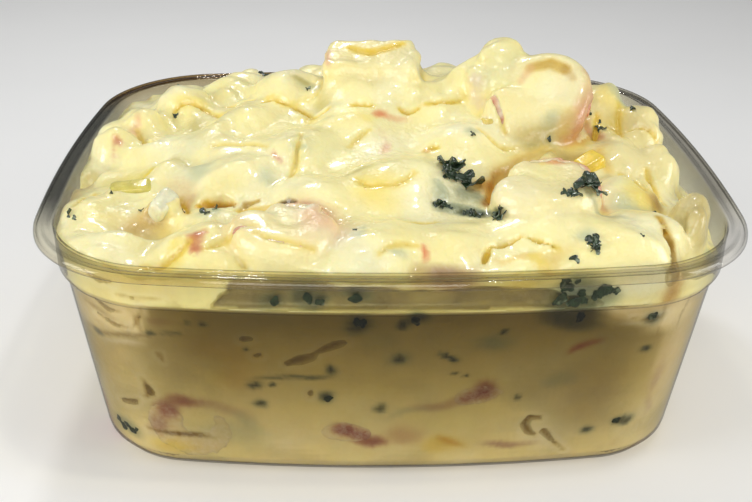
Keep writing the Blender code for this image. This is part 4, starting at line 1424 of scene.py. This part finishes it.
def neck_gap(grid):
    """Where the salad stands back from the wall above the ledge, from 0 to 1."""
    x, y, z = np.ix_(*grid.axes)
    patches = np.clip((noise_field(grid, *NECK_PATCHES) + 0.05) * 2.2, 0, 1)
    ragged = 0.7 * noise_field(grid, *NECK_RAGS)
    line = np.interp(x, *zip(*NECK_LINE)) + ragged
    middle = np.clip((line - z) / 1.5, 0, 1)
    front = ramp(y, -45, -51)
    band = ramp(z, LEDGE, LEDGE + 1.2) * ramp(z, TUB_HEIGHT + 1.5, TUB_HEIGHT - 1)
    return band * (patches * (1 - front) + middle * front)


def side_relief(grid):
    """How far the salad stands back from the wall: mostly above the ledge, and in specks."""
    specks = np.clip((noise_field(grid, *SPECKLES) - 1.5) * 3, 0, 1)
    return NECK_DEPTH * neck_gap(grid) + 0.5 * specks


def pocket_colours(colours, points, front):
    """Painted shade, golden, inside each air pocket, with a painted highlight on its pale rim."""
    spots = points[:, [0, 2, 2]] * (1, 1, 0)
    for pocket in AIR_POCKETS:
        away = run_distance(spots, [(x, z, 0, radius) for x, z, radius in pocket])
        rim = np.exp(-(((away - 0.7) / 0.6) ** 2))
        colours = layered(
            colours,
            (POCKET_SHADE, 0.85 * front * ramp(away, 0, -0.8)),
            (WHITE, 0.28 * front * rim),
        )
    return colours


def stain_share(across, along, stain):
    angle = math.radians(stain.turn)
    u = (across - stain.x) * math.cos(angle) + (along - stain.y) * math.sin(angle)
    v = -(across - stain.x) * math.sin(angle) + (along - stain.y) * math.cos(angle)
    return stain.strength * np.exp(-(((u / stain.size[0]) ** 2 + (v / stain.size[1]) ** 2) ** 1.5))


def wall_stained(colours, points, warp):
    """Adds what shows through the front wall, with painted shade that darkens it more the higher it
    is, up to just under the ledge. It also gives how far each point belongs to it.
    """
    x, y, z = points.T
    front = ramp(y, -44, -48) * ramp(z, TUB_HEIGHT + 0.5, TUB_HEIGHT - 1)
    shade = ramp(z, 18, LEDGE) * ramp(z, LEDGE, LEDGE - 1.5)
    colours = layered(colours, (WALL_SHADE, 0.45 * front * shade))
    for stain in WALL_STAINS:
        share = stain_share(x + warp[0] * 0.5, z + warp[1] * 0.4, stain)
        colours = layered(colours, (stain.colour, front * share))
    for fleck_x, height, size in WALL_FLECKS:
        halo = Stain(fleck_x, height, (1.6 * size, 1.2 * size), TEAL, 0.6)
        core = Stain(fleck_x, height, (0.95 * size, 0.75 * size), DARK_GREEN, 0.9)
        for stain in (halo, core):
            share = stain_share(x + warp[0] * 0.45, z + warp[1] * 0.45, stain)
            colours = layered(colours, (stain.colour, front * share))
    return colours, front


def salad_colours(points, top, grid):
    """The dressing's colour at each point, with what shows through it and painted shade in its
    creases, hollows, air pockets and gaps at the wall.
    """
    index = grid.nearest(points)

    def noise(cells, seed):
        return noise_field(grid, cells, seed)[index]

    warp = [2.2 * noise(*wave) for wave in WARPS]
    mottle = noise(*MOTTLE)
    grain = noise(*GRAIN)
    haze = noise(*CLOUDS)
    x, y, z = points.T
    depth = top.smoothed(3.2).at(x, y) - z
    open_top = z > top.at(x, y) - 9
    # Painted shade: the dressing turns yellow in creases and gold in deep hollows of the top.
    crease = np.clip((depth - 0.9) / 2.4, 0, 1) * open_top * (np.abs(depth) < 12)
    colours = layered(
        evenly(CREAM, points),
        (BUTTER, 0.09 + 0.14 * mottle),
        (WHITE, 0.3 * np.clip(-mottle - 0.2, 0, 1)),
        (SAGE, 0.22 * np.clip(haze - 0.45, 0, 1)),
        (BUTTER, 0.85 * crease),
        (GOLD, 0.85 * ramp(depth, 3, 6) * open_top),
    )
    for placed in TOP_SHRIMPS.values():
        veil = np.exp(-((curl_distance(points, placed, True)[0] / 1.6) ** 2))
        colours = layered(
            colours,
            (FLESH, 0.35 * veil),
            (FLESH, spot_share(points, placed, 1.3, 2) * np.clip(veil + 0.2, 0, 1)),
            (BLUSH, 0.9 * blush_share(points, placed)),
        )
    high = ramp(z, TUB_HEIGHT - 6, TUB_HEIGHT - 2)
    for stain in TOP_STAINS:
        share = 1.2 * high * stain_share(x + warp[0] * 0.7, y + warp[1] * 0.9, stain)
        colours = layered(colours, (stain.colour, share))
    stain_creases(colours, points, top)
    # Painted shade where the salad stands back from the wall above the ledge, and paler and dimmer
    # patches at the front's top.
    close = np.clip((3.2 + wall_field(grid, BITE)[index]) / 0.6, 0, 1)
    beside = close * ramp(z, TUB_HEIGHT - 2.2, TUB_HEIGHT - 4.7)
    seen = close * ramp(y, -40, -48) * ramp(z, TUB_HEIGHT - 3, TUB_HEIGHT - 7)
    patch = noise(*WALL_PATCHES)
    colours = layered(
        colours,
        (NECK_SHADE, 0.9 * beside * neck_gap(grid)[index]),
        (PALE_PATCH, seen * np.clip(0.5 * patch - 0.05, 0, 0.6)),
        (DIM_PATCH, seen * np.clip(-0.4 * patch - 0.15, 0, 0.4)),
    )
    colours, front = wall_stained(colours, points, warp)
    colours = pocket_colours(colours, points, front)
    beyond = (1 - front) * ramp(z, TUB_HEIGHT - 2, TUB_HEIGHT - 5)
    for number, tone in enumerate((BUTTER, SAGE, PINK, MAUVE, BUTTER, OLIVE)):
        patch = noise(SIDE_CELLS, SIDE_SEED + number) + 0.2 * grain
        colours = layered(colours, (tone, beyond * 0.75 * np.clip((patch - 0.95) * 3, 0, 1)))
    return colours * (1 + 0.015 * grain[:, None])


def thin_out(obj, plain, most):
    """Merges faces where a point's weight is more than zero, until so many triangles are left."""
    group = obj.vertex_groups.new(name="plain")
    for weight in np.unique(plain[plain > 0]):
        group.add(np.flatnonzero(plain == weight).tolist(), float(weight), "REPLACE")
    triangles = sum(len(face.vertices) - 2 for face in obj.data.polygons)
    modifier = obj.modifiers.new("Thin", "DECIMATE")
    modifier.ratio = min(1.0, most / triangles)
    modifier.vertex_group = group.name
    bake_modifiers(obj)


def make_salad(material):
    grid = Grid(*SALAD_GRID, STEP)
    field = salad_field(grid)
    points, faces = surface_net(field, grid)
    top = top_of(field, grid)
    obj = mesh_object("salad_heap", points, faces)
    set_colours(obj, salad_colours(points, top, grid))
    _, y, z = points.T
    side = (z < PLAIN_BELOW) & (y > PLAIN_BEHIND)
    thin_out(obj, np.where(z < WALL + 0.2, 1.0, np.where(side, 0.5, 0.0)), MOST_TRIANGLES)
    add_to_scene(obj, material, "coated_salad", "salad")
    return top


# Herbs.


def frill(radius, lobes, seed, spokes=24, rings=3, thickness=0.22):
    """A small curly leaf: points and faces of a thin sheet with round lobes and a wavy edge."""
    draw = np.random.default_rng(seed)
    phases = draw.uniform(0, 2 * math.pi, 5)
    theta = np.linspace(0, 2 * math.pi, spokes, endpoint=False)
    notch = np.abs(np.cos(lobes * theta / 2 + phases[0])) ** 6
    outline = 1 - 0.24 * notch + 0.12 * np.sin(2 * theta + phases[4]) + 0.08 * np.sin(3 * theta)
    wave = 0.9 * np.sin(2 * theta + phases[1]) + 0.4 * np.sin(lobes * theta + phases[2])
    stretch = 1 + 0.25 * math.sin(phases[3])
    upper = [np.zeros((1, 3))]
    for share in np.arange(1, rings + 1) / rings:
        reach = radius * share * (1 + (outline - 1) * share)
        height = 0.42 * radius * share**1.5 * wave
        ring = (reach * np.cos(theta) * stretch, reach * np.sin(theta), height)
        upper.append(np.stack(ring, axis=1))
    upper = np.concatenate(upper)
    points = np.concatenate((upper, upper - (0, 0, thickness)))
    half = len(upper)
    rim = 1 + (rings - 1) * spokes
    faces = []
    for i in range(spokes):
        j = (i + 1) % spokes
        faces.append((0, 1 + i, 1 + j))
        faces.append((half, half + 1 + j, half + 1 + i))
        for a in range(1, rim, spokes):
            b = a + spokes
            faces.append((a + i, b + i, b + j, a + j))
            faces.append((half + a + i, half + a + j, half + b + j, half + b + i))
        faces.append((rim + i, half + rim + i, half + rim + j, rim + j))
    return points, faces


def placed_sheet(sheet, spot, facing, draw, squash=1.0):
    """A sheet flattened, turned at random about the way that it faces, and moved to a spot."""
    points, faces = sheet
    axes = facing_axes(facing, draw.uniform(0, 6.28))
    return (points * (1, 1, squash)) @ axes.T + np.array(spot), faces


def scattered(draw, cluster):
    """A random shift inside a cluster."""
    return np.clip(draw.normal(0, 0.55, 2), -1.1, 1.1) * cluster.spread


def top_cluster(cluster, top, seed):
    draw = np.random.default_rng(seed)
    turn = math.radians(cluster.turn)
    sheets = []
    for number in range(cluster.count):
        u, v = scattered(draw, cluster)
        x = cluster.x + u * math.cos(turn) - v * math.sin(turn)
        y = cluster.y + u * math.sin(turn) + v * math.cos(turn)
        radius = draw.uniform(*cluster.sizes)
        facing = top.facing(x, y, draw, 0.45)
        spot = (x, y, float(top.at(x, y)) + cluster.lift + 0.12 * radius)
        sheet = frill(radius, int(draw.integers(4, 7)), seed * 100 + number)
        sheets.append(placed_sheet(sheet, spot, facing, draw))
    return sheets


def make_top_herbs(material, top):
    for number, (node, clusters) in enumerate(TOP_HERBS.items()):
        sheets = []
        for part, cluster in enumerate(clusters):
            sheets += top_cluster(cluster, top, TOP_HERB_SEED + 10 * number + part)
        add_to_scene(joined(node + "_leaves", sheets), material, "herb_leaf", node)


def make_wall_herbs(material):
    """The leaves pressed flat against the front wall under the rim."""
    sheets = []
    for part, cluster in enumerate(WALL_HERB):
        draw = np.random.default_rng(WALL_HERB_SEED + part)
        for number in range(cluster.count):
            u, v = scattered(draw, cluster)
            radius = draw.uniform(*cluster.sizes)
            height = cluster.y + v
            if height > LEDGE - 2:
                height = max(height, LEDGE + 0.6 + radius)
            spot, facing = front_spot(cluster.x + u, height, LEAF_BITE)
            sheet = frill(radius, 5, WALL_LEAF_SEED + 100 * part + number)
            sheets.append(placed_sheet(sheet, spot, facing, draw, PRESSED))
    add_to_scene(joined("herb_wall_leaves", sheets), material, "herb_leaf", "herb_wall")


def make_flecks(material, pressed_material, top):
    """Small scraps of herb: one piece for those on top and one for those behind the wall."""
    draw = np.random.default_rng(FLECK_SEED)
    sheets = []
    for number, (x, y, size) in enumerate(TOP_FLECKS):
        spot = (x, y, float(top.at(x, y)) + 0.1 * size)
        facing = top.facing(x, y, draw, 0.35)
        sheet = frill(size, 4, TOP_FLECK_SEED + number, spokes=16)
        sheets.append(placed_sheet(sheet, spot, facing, draw))
    add_to_scene(joined("herb_scraps_top", sheets), material, "herb_leaf")
    places = [
        (*front_spot(x, height, FLECK_BITE), SHEET_SHARE * size)
        for x, height, size in WALL_FLECKS
        if size > LEAST_SHEET
    ]
    for angle, height, size in ROUND_FLECKS:
        places.append((*wall_spot(math.radians(angle), height, FLECK_BITE), size))
    sheets = []
    for number, (spot, facing, size) in enumerate(places):
        sheet = frill(size, 4, WALL_FLECK_SEED + number, spokes=16)
        sheets.append(placed_sheet(sheet, spot, facing, draw, PRESSED))
    add_to_scene(joined("herb_scraps_wall", sheets), pressed_material, "herb_leaf")


# Cubes of filling.


def chunk_shape(node):
    """A cube's centre, size, axes and rounding."""
    chunk = CHUNKS[node]
    low, high = (np.array(corner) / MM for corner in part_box(node))
    centre = (low + high) / 2 + chunk.shift
    return centre, chunk.size, rotation(*zip("XYZ", chunk.turns)), CHUNK_ROUNDING


def bed_chunk(field, grid, node):
    """Draws the dressing up around a cube, and over its lower part."""
    shape = chunk_shape(node)
    centre, size = shape[:2]

    def bedded(points):
        above = (points[..., 2] - centre[2]) / 1.5 - 2 * CHUNKS[node].cover
        return box_distance(points, *shape) + 0.9 * np.clip(above + 0.6, 0, 1) - 0.3

    fuse(field, grid, around(centre, max(size) * 0.8 + 3), CHUNK_MELT, bedded)


def make_chunks():
    for number, (node, chunk) in enumerate(CHUNKS.items()):
        shape = chunk_shape(node)
        grid = Grid(*around(shape[0], max(chunk.size) * 0.8 + 1), CHUNK_STEP)
        field = box_distance(grid.points(), *shape)
        field += CHUNK_GRAIN * noise_field(grid, CHUNK_CELLS, CHUNK_SEED + number)
        obj = mesh_object(node + "_piece", *surface_net(field, grid))
        tone = linear(chunk.colour)
        material = moist_material(node + "_filling", CHUNK_LOOK, tone, CHUNK_SHADE * tone)
        add_to_scene(obj, material, chunk.slot, node)


# Materials.


class Material:
    """A new material, with short ways to add nodes to it."""

    def __init__(self, name):
        self.data = bpy.data.materials.new(name)
        self.data.use_nodes = True
        self.nodes = self.data.node_tree.nodes
        self.shader = self.nodes["Principled BSDF"]

    def feed(self, node, sockets):
        """Sets a node's sockets to plain values, or links them where a value is a socket."""
        for key, value in sockets.items():
            if isinstance(value, bpy.types.NodeSocket):
                self.data.node_tree.links.new(value, node.inputs[key])
            else:
                node.inputs[key].default_value = value

    def add(self, kind, sockets, **settings):
        node = self.nodes.new("ShaderNode" + kind)
        for key, value in settings.items():
            setattr(node, key, value)
        self.feed(node, sockets)
        return node

    def attribute(self, name):
        return self.add("Attribute", {}, attribute_name=name).outputs["Color"]

    def power(self, value, exponent):
        return self.add("Math", {0: value, 1: exponent}, operation="POWER").outputs[0]

    def noise(self, scale, detail, roughness=0.5):
        place = self.add("TexCoord", {}).outputs["Object"]
        sockets = {"Vector": place, "Scale": scale, "Detail": detail, "Roughness": roughness}
        return self.add("TexNoise", sockets).outputs["Fac"]

    def remap(self, value, low, high, new_low, new_high):
        ranges = {"From Min": low, "From Max": high, "To Min": new_low, "To Max": new_high}
        return self.add("MapRange", {"Value": value, **ranges}).outputs["Result"]

    def patches(self, scale, detail, roughness, low, high, most=1.0):
        """Noise that rises from 0 to its most between two of its values."""
        return self.remap(self.noise(scale, detail, roughness), low, high, 0.0, most)

    def mix(self, share, first, second):
        """A mix of two linear colours, each plain or a socket."""
        node = self.add("Mix", {}, data_type="RGBA")
        colours = [c if isinstance(c, bpy.types.NodeSocket) else (*c, 1.0) for c in (first, second)]
        self.feed(node, dict(zip(MIX_INPUTS, (share, *colours))))
        return node.outputs[MIX_RESULT]

    def bump(self, node, *layers):
        """Bumps a node's surface by noises, each as (scale, height in millimetres, detail)."""
        before = {}
        for scale, height, detail in layers:
            sockets = {"Strength": 1.0, "Distance": height * MM, "Height": self.noise(scale, detail)}
            before = {"Normal": self.add("Bump", {**sockets, **before}).outputs["Normal"]}
        self.feed(node, before)


def moist_material(name, look, base, patch):
    """A moist surface with patches of another colour. Without a base it has its points' tint."""
    moist = Material(name)
    base = moist.attribute("tint") if base is None else base
    gloss = moist.remap(moist.noise(260, 2.0), 0.35, 0.65, *look.roughness)
    moist.feed(moist.shader, {
        "Base Color": moist.mix(moist.patches(*look.patches), base, patch),
        "Subsurface Weight": look.scatter,
        "Roughness": gloss,
        **MOISTURE,
    })
    moist.bump(moist.shader, *look.bumps)
    return moist.data


def herb_material(name, veiled, coat):
    """Dark green leaf, veiled here and there by a film of dressing, and glossy with a coat."""
    leaf = Material(name)
    veins = leaf.patches(900, 4.0, 0.7, 0.42, 0.66)
    green = leaf.mix(veins, linear(DARK_GREEN), linear(LEAF_GREEN))
    film = leaf.patches(420, 3.0, 0.5, 0.52 - veiled, 0.66 - veiled, 0.7)
    dull = 0.75 * coat
    leaf.feed(leaf.shader, {
        "Base Color": leaf.mix(film, green, linear(LEAF_FILM)),
        "Subsurface Weight": 0.1,
        "Subsurface Scale": 0.5 * MM,
        "Roughness": leaf.remap(leaf.noise(600, 2.0), 0.35, 0.65, 0.50 - dull, 0.75 - dull),
        "Coat Weight": coat,
        "Coat Roughness": 0.1,
        "Specular IOR Level": 0.15 + 0.85 * coat,
    })
    leaf.bump(leaf.shader, (1400, 0.15, 3.0))
    return leaf.data


def plastic_material():
    """Clear smoky plastic: tinted see-through with a mirror that grows towards grazing angles. Its
    clearness per point also holds painted shade, a painted reflection and a painted highlight.
    """
    plastic = Material("clear_smoky_plastic")
    plastic.nodes.remove(plastic.shader)
    facing = plastic.add("LayerWeight", {"Blend": 0.5}).outputs["Facing"]
    haze = plastic.patches(60, 4.0, 0.6, 0.35, 0.70, 0.12)
    clear = plastic.mix(haze, plastic.attribute("clearness"), linear(HAZE))
    tint = plastic.mix(plastic.power(facing, 3.5), clear, linear(EDGE_TINT))
    window = plastic.add("BsdfTransparent", {"Color": tint})
    mirror = plastic.add("BsdfGlossy", {"Color": (1, 1, 1, 1), "Roughness": 0.03})
    plastic.bump(mirror, (45, 0.05, 2.0))
    share = plastic.remap(plastic.power(facing, 5.0), 0.0, 1.0, 0.022, 0.55)
    mix = plastic.add("MixShader", {"Fac": share, 1: window.outputs[0], 2: mirror.outputs[0]})
    plastic.feed(plastic.nodes["Material Output"], {"Surface": mix.outputs[0]})
    return plastic.data


# The tub.


def tub_rings():
    """Rings of points from the middle of the tub's floor outward, up and over its rim."""
    low = WALL + CHAMFER_INSET
    section = (
        (BASE, low + 14, WALL),
        (BASE, low + 0.8, WALL),
        (BASE, low - 0.1, WALL + 0.15),
        (BASE, WALL + 1.2, WALL + 1.7),
        (BASE, WALL + 0.25, CHAMFER_HEIGHT - 0.6),
        (BASE, WALL, CHAMFER_HEIGHT + 0.6),
        (UPPER, LEDGE_STEP + 0.05, SHELF - 0.5),
        (UPPER, LEDGE_STEP - 0.25, SHELF + 0.1),
        (UPPER, 0.35, LEDGE - 0.25),
        (UPPER, 0, LEDGE + 0.4),
        (UPPER, 0, TUB_HEIGHT - 0.9),
        (UPPER, -0.12, TUB_HEIGHT - 0.4),
        (UPPER, -0.45, TUB_HEIGHT - 0.08),
        (UPPER, -0.9, TUB_HEIGHT),
        (RIM, SHOULDER + 2.3, TUB_HEIGHT),
        (RIM, SHOULDER + 2.0, TUB_HEIGHT - 0.35),
        (RIM, SHOULDER + 1.0, TUB_HEIGHT - 0.35),
        (RIM, SHOULDER + 0.7, TUB_HEIGHT),
        (RIM, SHOULDER - 0.2, TUB_HEIGHT),
        (RIM, 0.7, TUB_HEIGHT - 0.2),
        (RIM, 0.25, TUB_HEIGHT - 0.7),
        (RIM, 0.05, TUB_HEIGHT - 1.3),
        (RIM, 0, TUB_HEIGHT - SKIRT_DROP),
    )
    rings = [
        np.array([(x, y, height) for x, y in outline_points(outline.inset(inset))])
        for outline, inset, height in section
    ]
    foot, top = rings[FOOT_RING : FOOT_RING + 2]
    rings[FOOT_RING + 1 : FOOT_RING + 1] = [foot + (top - foot) * step for step in WALL_STEPS]
    return rings


def tub_colours(points, outer):
    """How much light the plastic lets through at each point, by colour, with painted shade on the
    walls, a painted reflection on the right flange and a painted highlight on the front rim.
    """
    x, y, z = points.T
    flange = np.clip((np.hypot(x, y) - outline_radius(UPPER, np.arctan2(y, x)) - 0.2) / 0.6, 0, 1)
    flange = flange * (z > TUB_HEIGHT - 4)
    front = ramp(y, -26, -44)
    back = ramp(y, 30, 48)
    neck = z > LEDGE + 0.1
    # Painted shade: the walls darken towards the top, most in the front's middle, little at the right
    # end, and not above where the salad leaves the front wall at the corners.
    painted_shade = np.where(x < RIGHT_FROM, LEFT_PAINTED_SHADE, RIGHT_PAINTED_SHADE)
    painted_shade = painted_shade + (1 - painted_shade) * front * ramp(np.abs(x - PAINTED_SHADE_SHIFT), 62, 46)
    edge = np.interp(x, *zip(*EDGE_LINE))
    painted_shade = painted_shade * (1 - 0.85 * front * ramp(z - edge, -1.5, 1.5))
    outside = layered(
        evenly(LOW_CLEAR, points), (PAINTED_SHADE_CLEAR, painted_shade * ramp(z, 1, 48) ** 1.15), (NECK_CLEAR, neck)
    )
    inside = layered(evenly(INSIDE_CLEAR, points), (INSIDE_NECK_CLEAR, neck))
    return layered(
        np.where(outer[:, None], outside, inside),
        (FLANGE_CLEAR, flange),
        (BACK_FLANGE_CLEAR, flange * back),
        # Painted reflection: the right flange lets more light through.
        (RIGHT_FLANGE_PAINTED_REFLECTION, flange * (x > RIGHT_FROM)),
        (FRONT_FLANGE_CLEAR, flange * front),
        (SKIRT_CLEAR, flange * front * (z < TUB_HEIGHT - 1.0)),
        # Painted highlight: the right of the front rim lets nearly all light through.
        (FRONT_RIM_PAINTED_HIGHLIGHT, flange * front * ramp(x, 30, 60)),
    )


def make_tub(material):
    """The tub's inside and rim as rings, given the wall's thickness on the outside."""
    rings = tub_rings()
    count = len(rings[0])
    faces = [list(range(count))[::-1]]
    for start in range(0, (len(rings) - 1) * count, count):
        for i in range(count):
            j = (i + 1) % count
            faces.append([start + j, start + i, start + count + i, start + count + j])
    obj = mesh_object("tub_shell", np.concatenate(rings), faces)
    shell = obj.modifiers.new("Wall", "SOLIDIFY")
    shell.thickness = WALL * MM
    shell.offset = -1
    shell.use_even_offset = True
    bake_modifiers(obj)
    points = np.array([vertex.co for vertex in obj.data.vertices]) / MM
    outer = np.arange(len(points)) >= len(rings) * count
    set_colours(obj, tub_colours(points, outer), "clearness")
    add_to_scene(obj, material, "clear_plastic", "tub")


# Camera, light and floor.


def make_camera():
    back = Vector((
        math.sin(CAMERA_AZIMUTH) * math.cos(CAMERA_ELEVATION),
        -math.cos(CAMERA_AZIMUTH) * math.cos(CAMERA_ELEVATION),
        math.sin(CAMERA_ELEVATION),
    ))
    level = (-back).cross(Vector((0, 0, 1))).normalized()
    upright = level.cross(-back)
    right = level * math.cos(CAMERA_ROLL) + upright * math.sin(CAMERA_ROLL)
    up = upright * math.cos(CAMERA_ROLL) - level * math.sin(CAMERA_ROLL)
    data = bpy.data.cameras.new("camera")
    data.lens = CAMERA_LENS
    data.sensor_width = CAMERA_SENSOR
    data.clip_start = NEAREST_SEEN
    camera = bpy.data.objects.new("camera", data)
    axes = Matrix((right, up, back)).transposed().to_4x4()
    camera.matrix_world = Matrix.Translation(Vector(CAMERA_LOCATION) * MM) @ axes
    bpy.context.scene.collection.objects.link(camera)
    bpy.context.scene.camera = camera


def make_lamp(name, place, aim_height, size, power):
    data = bpy.data.lights.new(name, "AREA")
    data.size = size
    data.energy = power
    data.color = LAMP_TONES.get(name, (1, 1, 1))
    lamp = bpy.data.objects.new(name, data)
    lamp.location = place
    aim = Vector((0, 0, aim_height)) - Vector(place)
    lamp.rotation_euler = aim.to_track_quat("-Z", "Y").to_euler()
    bpy.context.scene.collection.objects.link(lamp)


def make_studio():
    world = bpy.data.worlds.new("studio")
    world.use_nodes = True
    sky = world.node_tree.nodes["Background"]
    sky.inputs["Color"].default_value = (1.0, 1.0, 1.0, 1.0)
    sky.inputs["Strength"].default_value = SKY_STRENGTH
    bpy.context.scene.world = world
    for name, lamp in LAMPS.items():
        make_lamp(name, *lamp)
    bpy.context.scene.view_settings.view_transform = "Standard"


def make_floor():
    corners = np.array([(-1, -1, 0), (1, -1, 0), (1, 1, 0), (-1, 1, 0)]) * FLOOR_HALF
    floor = mesh_object("floor", corners, [(0, 1, 2, 3)], smooth=False)
    pale = Material("pale_floor")
    tone = pale.mix(pale.patches(6, 3.0, 0.5, 0.3, 0.7), *FLOOR_TONES)
    pale.feed(pale.shader, {"Base Color": tone, "Roughness": 0.7})
    floor.data.materials.append(pale.data)


def main():
    make_camera()
    make_studio()
    make_floor()
    top = make_salad(moist_material("dressed_salad", SALAD_LOOK, None, linear(BUTTER)))
    shrimp = moist_material("shrimp_flesh_moist", SHRIMP_LOOK, None, linear(WHITE))
    for number, (name, placed) in enumerate(TOP_SHRIMPS.items()):
        make_shrimp(name, placed, shrimp, True, TOP_SHRIMP_SEED + number)
    for number, (name, placed) in enumerate(WALL_SHRIMPS.items()):
        make_shrimp(name, placed, shrimp, False, WALL_SHRIMP_SEED + number)
    make_chunks()
    herb = herb_material("dark_herb", -0.06, 0.4)
    pressed_herb = herb_material("pressed_herb", -0.07, 0.0)
    make_top_herbs(herb, top)
    make_wall_herbs(pressed_herb)
    make_flecks(herb, pressed_herb, top)
    make_tub(plastic_material())


main()
